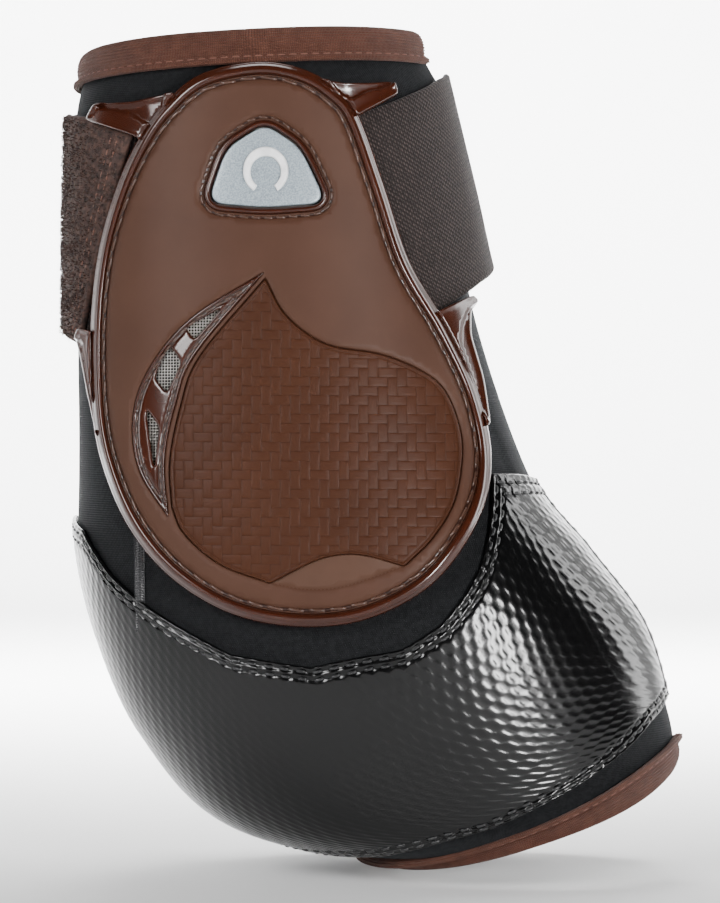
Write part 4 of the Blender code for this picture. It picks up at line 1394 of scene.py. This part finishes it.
def build_guard():
    outline = evenly(curve_through(SHELL, closed=True), 1.1)
    badge = evenly(rounded(BADGE, 0.3), 0.6)
    vent = evenly(joined(curve_through(VENT_OUTER), curve_through(VENT_INNER)), 0.8)
    pad = evenly(joined(*(curve_through(run) for run in (PAD_SIDE, PAD_FOOT, PAD_BACK, PAD_RISE))), 1.0)
    lens = evenly(joined(curve_through(PAD_FOOT), curve_through(LENS_FOOT)), 0.9)

    rim = swept_ring("guard_rim", outline, RIM_PROFILE, LOOK["gloss"], "guard_gloss")
    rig.replaces(rim, "shell_frame")

    def face_lift(points):
        depth = inside_depth(points, outline)
        around = -inside_depth(points, badge)
        lift = FACE - 0.8 * np.exp(-(((depth - GROOVE) / 0.55) ** 4))
        lift -= 0.7 * np.exp(-(((around - BADGE_GROOVE) / 0.5) ** 4))
        lift -= 0.55 * np.clip(inside_depth(points, lens) / 0.35, 0, 1)
        for hole in (vent, pad):
            lift -= edge_round(np.clip(-inside_depth(points, hole), 0, 9), 0.45)
        return lift

    face = plate(
        "guard_face", ring_at(outline, 3.65), face_lift, LOOK["satin"], "guard_satin",
        holes=[ring_at(badge, -2.2), vent, pad],
        rings=[ring_at(outline, GROOVE + d) for d in (-0.45, 0, 0.45, 0.75)]
        + [ring_at(badge, -BADGE_GROOVE - d) for d in (-0.35, 0, 0.35, 0.65)]
        + [ring_at(vent, -0.45), ring_at(pad, -0.45), lens, ring_at(lens, 0.35)],
        spacing=1.5,
        # faces in the stitched grooves take the grooves' painted shade; those inside the lens take the lens finish
        paint=lambda p: np.where(
            (np.abs(inside_depth(p, outline) - GROOVE + 0.05) < 0.5)
            | (np.abs(inside_depth(p, badge) + BADGE_GROOVE) < 0.4),
            1, np.where(inside_depth(p, lens) > 0.2, 2, 0)))
    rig.replaces(face, "shell_face")
    guard_row("guard_stitches", ring_at(outline, GROOVE), FACE - 0.55, 5.2, 0.4, 0.48, 0.22)
    guard_row("badge_stitches", ring_at(badge, -BADGE_GROOVE), FACE - 0.5, 2.9, 0.35, 0.42, 0.18)

    bezel = swept_ring("badge_bezel_ring", badge, BEZEL_PROFILE, LOOK["gloss"], "guard_gloss")
    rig.replaces(bezel, "badge_bezel")
    plate_face = plate(
        "badge_face", badge, lambda p: 5.9 - edge_round(inside_depth(p, badge), 0.5), LOOK["silver"],
        "badge_silver", rings=[ring_at(badge, d) for d in (0.12, 0.3, 0.5)], spacing=1.2)
    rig.replaces(plate_face, "badge_plate")
    build_horseshoe()

    def pad_lift(points):
        depth = inside_depth(points, pad)
        lip = np.exp(-(((depth - 0.55) / 0.4) ** 4))
        field = np.clip((depth - 0.95) / 0.25, 0, 1)
        return 5.15 + 0.95 * lip + field * (0.42 + pad_weave(points)) - edge_round(depth, 0.3)

    pad_face = plate(
        "strike_pad_face", ring_at(pad, 0.05), pad_lift, LOOK["pad"], "strike_pad",
        rings=[ring_at(pad, d) for d in (0.2, 0.4, 0.7, 0.95, 1.2)], spacing=1.0, grid=0.42)
    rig.replaces(pad_face, "strike_pad")
    build_vent(vent)

    for name, (corners, share, step) in EARS.items():
        ear = evenly(rounded(corners, share), 0.6)
        step = evenly(curve_through(step, 4, closed=True), 0.6)

        def ear_lift(points, ear=ear, step=step):
            depth, stepped = inside_depth(points, ear), inside_depth(points, step)
            lip = 0.5 * np.exp(-((depth / 0.9) ** 2))
            down = 2.0 * np.clip(stepped / 0.5, 0, 1) - 0.25 * np.clip(stepped / 4 - 0.2, 0, 1)
            sink = 3.4 * np.clip((inside_depth(points, outline) - 0.2) / 1.6, 0, 1)
            return 6.6 + lip - down - sink - edge_round(depth, 0.6)

        plate(f"guard_ear_{name}", ear, ear_lift, LOOK["gloss"], "guard_gloss", spacing=0.7, floor=3.2,
              rings=[ring_at(ear, 0.15), ring_at(ear, 0.35), ring_at(ear, 0.6), step, ring_at(step, 0.5)])
    edge = ring_at(outline, 2.2)

    def gel_lift(points):
        return 2.6 - edge_round(inside_depth(points, edge), 1.4)

    gel = plate("gel_cushion", edge, gel_lift, LOOK["gel"], "gel",
                rings=[ring_at(edge, d) for d in (0.3, 0.8, 1.4)], spacing=3.0, floor=0.6)
    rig.replaces(gel, "gel_pad")
    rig.padded(gel, fill=0.4)


def build_horseshoe():
    """A plain raised horseshoe with nail slots, in the middle of the badge."""
    centre, turn = np.array((-9.3, 190.2)), np.radians(np.linspace(-58, 238, 40))
    width = np.interp(np.abs(np.linspace(-1, 1, 40)), [0, 1], [1.25, 0.85])[:, None]
    ring = np.stack([np.cos(turn), np.sin(turn) * 1.05], axis=1)
    shoe = evenly(np.vstack([centre + (5.1 + width) * ring, centre + ((5.1 - width) * ring)[::-1]]), 0.3)
    slots = []
    for angle in np.radians((-30, 0, 30, 150, 180, 210)):
        along = np.array((-math.sin(angle), math.cos(angle)))
        out = np.array((math.cos(angle), math.sin(angle)))
        middle = centre + 5.1 * out * (1, 1.05)
        corners = ((-1, -1), (-1, 1), (1, 1), (1, -1))
        slots.append(np.array([middle + a * 0.62 * along + b * 0.22 * out for a, b in corners]))

    def shoe_lift(points):
        lift = 6.95 - edge_round(inside_depth(points, shoe), 0.5)
        for slot in slots:
            lift = lift - 0.4 * np.clip(inside_depth(points, slot) / 0.1, 0, 1)
        return lift

    piece = plate("badge_horseshoe", shoe, shoe_lift, LOOK["white"], "badge_white",
                  rings=[ring_at(shoe, 0.2), ring_at(shoe, 0.5), *slots], spacing=0.5, floor=5.6)
    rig.replaces(piece, "badge_emblem")


def build_vent(vent):
    """The crescent with its stitched grooves, its windows and the woven wire behind them."""
    windows = [evenly(rounded(corners, 0.22), 0.4) for corners in VENT_WINDOWS]

    def vent_lift(points):
        depth = inside_depth(points, vent)
        lift = 5.75 - 0.75 * np.exp(-(((depth - VENT_GROOVE) / 0.5) ** 4)) - edge_round(depth, 0.25)
        for window in windows:
            lift = lift - edge_round(np.clip(-inside_depth(points, window), 0, 9), 0.6)
        return lift

    frame_piece = plate(
        "vent_frame_bars", vent, vent_lift, LOOK["gloss"], "guard_gloss", holes=windows,
        rings=[inset(vent, d) for d in (0.25, 0.6, 1.7)]
        + [ring_at(w, d) for w in windows for d in (-0.6, -0.3)],
        # faces in the vent's stitched groove take the grooves' painted shade
        spacing=0.6, floor=3.6, paint=lambda p: np.abs(inside_depth(p, vent) - VENT_GROOVE) < 0.45)
    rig.replaces(frame_piece, "vent_frame")
    guard_row("vent_stitches", evenly(inset(vent, VENT_GROOVE), 0.8), 5.1, 2.7, 0.3, 0.33, 0.15)

    pitch, lines = 0.8, []
    low, high = vent.min(axis=0), vent.max(axis=0)
    for axis in (0, 1):
        other = 1 - axis
        for number, at in enumerate(np.arange(low[axis], high[axis], pitch)):
            run = np.arange(low[other], high[other], pitch / 2)
            points = np.zeros((len(run), 2))
            points[:, axis], points[:, other] = at, run
            inside = inside_depth(points, vent) > 0.4
            step = np.arange(len(run))
            sway = 0.12 * np.cos(math.pi * (run - low[other]) / pitch + math.pi * number + math.pi * axis)
            for group in np.split(step, np.flatnonzero(np.diff(inside.astype(int)) != 0) + 1):
                if len(group) >= 3 and inside[group[0]]:
                    lines.append(inner_side(points[group, 0], points[group, 1], 3.75 + sway[group]))
    mesh = threads("vent_wire_mesh", lines, 0.14, LOOK["wire"], "vent_wire", sides=5)
    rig.replaces(mesh, "vent_mesh")
    plate("vent_backing", inset(vent, 0.3), lambda p: np.full(len(p), 3.2), LOOK["dark"], "neoprene",
          spacing=3.0, floor=2.8)


# ---------------------------------------------------------------- stage, light and camera


MIDDLE = (0.0, 0.0, 0.11)
# Area lights, in metres and watts: place, target, size, power and spread in degrees
LIGHTS = {
    "key_right": ((0.56, -0.86, 0.15), MIDDLE, (0.13, 0.34), 13, 180),
    "rim_right": ((0.95, 0.30, 0.34), MIDDLE, (0.26, 0.9), 6, 180),
    "fill_left": ((-0.66, -0.90, 0.50), MIDDLE, (0.40, 0.50), 1.6, 60),
    "rim_left": ((-0.95, 0.1, 0.35), MIDDLE, (0.12, 0.9), 2.0, 180),
    "top": ((0.0, 0.2, 1.2), (0.0, 0.1, 0.11), (0.5, 0.3), 0.5, 60),
    "floor_wash": ((0.0, 0.76, 1.3), (0.0, 0.76, 0.0), (1.8, 0.3), 45, 64),
    "backdrop_wash": ((0.0, 0.9, 1.6), (0.0, 2.2, 0.6), (2.4, 0.5), 120, 100),
}
FLOOR_SIZE, FLOOR_NEAR = 40.0, -6  # metres: half the floor's width, and a row that keeps its faces short
FLOOR_DROP, BACK_WALL, WALL_TOP, BEND = -0.004, 2.2, 3.5, 0.6
DIM_GLOW = 0.03


def build_stage():
    """A pale floor that bends up into a wall, under soft lights."""
    mesh = bpy.data.meshes.new("studio_floor")
    bend = np.radians(np.linspace(0, 90, 13))
    rows = [(-FLOOR_SIZE, FLOOR_DROP), (FLOOR_NEAR, FLOOR_DROP)]
    rows += [(BACK_WALL - BEND + BEND * math.sin(a), FLOOR_DROP + BEND - BEND * math.cos(a)) for a in bend]
    rows += [(BACK_WALL, WALL_TOP)]
    points = [(x, y, z) for y, z in rows for x in (-FLOOR_SIZE, FLOOR_SIZE)]
    faces = [(2 * k, 2 * k + 1, 2 * k + 3, 2 * k + 2) for k in range(len(rows) - 1)]
    mesh.from_pydata(points, [], faces)
    mesh.shade_smooth()
    look = Look("studio_white", (0.9, 0.9, 0.9), 0.9, Specular_IOR_Level=0.0, Emission_Color=(1, 1, 1, 1))
    # the floor glows: dimly near the object, and more brightly far from it, where it only serves as the background
    links = {0: look.node("TexCoord", "Object")}
    far = look.node("VectorMath", "Value", links, operation="LENGTH")
    look.put(look.inputs["Emission Strength"], look.ranged(far, 0.8, 3.0, DIM_GLOW, 0.8))
    look.colour(look.mottle((0.9, 0.9, 0.9), (0.89, 0.89, 0.89), 2))
    mesh.materials.append(look.material)
    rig.stage(in_scene("studio_floor", mesh))

    world = bpy.data.worlds.new("studio")
    world.use_nodes = True
    background = world.node_tree.nodes["Background"].inputs
    background["Color"].default_value = (1, 1, 1, 1)
    background["Strength"].default_value = DIM_GLOW
    bpy.context.scene.world = world
    for name, (place, target, size, power, spread) in LIGHTS.items():
        data = bpy.data.lights.new(name, "AREA")
        data.shape = "RECTANGLE"
        data.size, data.size_y = size
        data.energy = power
        data.spread = math.radians(spread)
        light = in_scene(name, data)
        light.location = place
        aim = np.array(target) - np.array(place)
        light.rotation_euler = Vector(aim).to_track_quat("-Z", "Y").to_euler()


CAMERA = (0.016, -0.9, 0.115)
FOCAL_LENGTH, FRAME_HEIGHT = 3163, 903  # in the picture's own units


def build_camera():
    data = bpy.data.cameras.new("camera")
    data.sensor_width = 36
    data.lens = FOCAL_LENGTH / FRAME_HEIGHT * data.sensor_width
    data.clip_start = 0.05
    camera = in_scene("camera", data)
    camera.location = CAMERA
    camera.rotation_euler = (math.radians(90), 0, 0)
    bpy.context.scene.camera = camera


build_camera()
build_padding()
build_bindings()
build_cover()
build_panel_seam()
build_straps()
build_guard()
build_stage()

json.dump([[list(map(float, p)) for p in box] for box in (CAD_BOX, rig.bounds())], open("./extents.json", "w"))
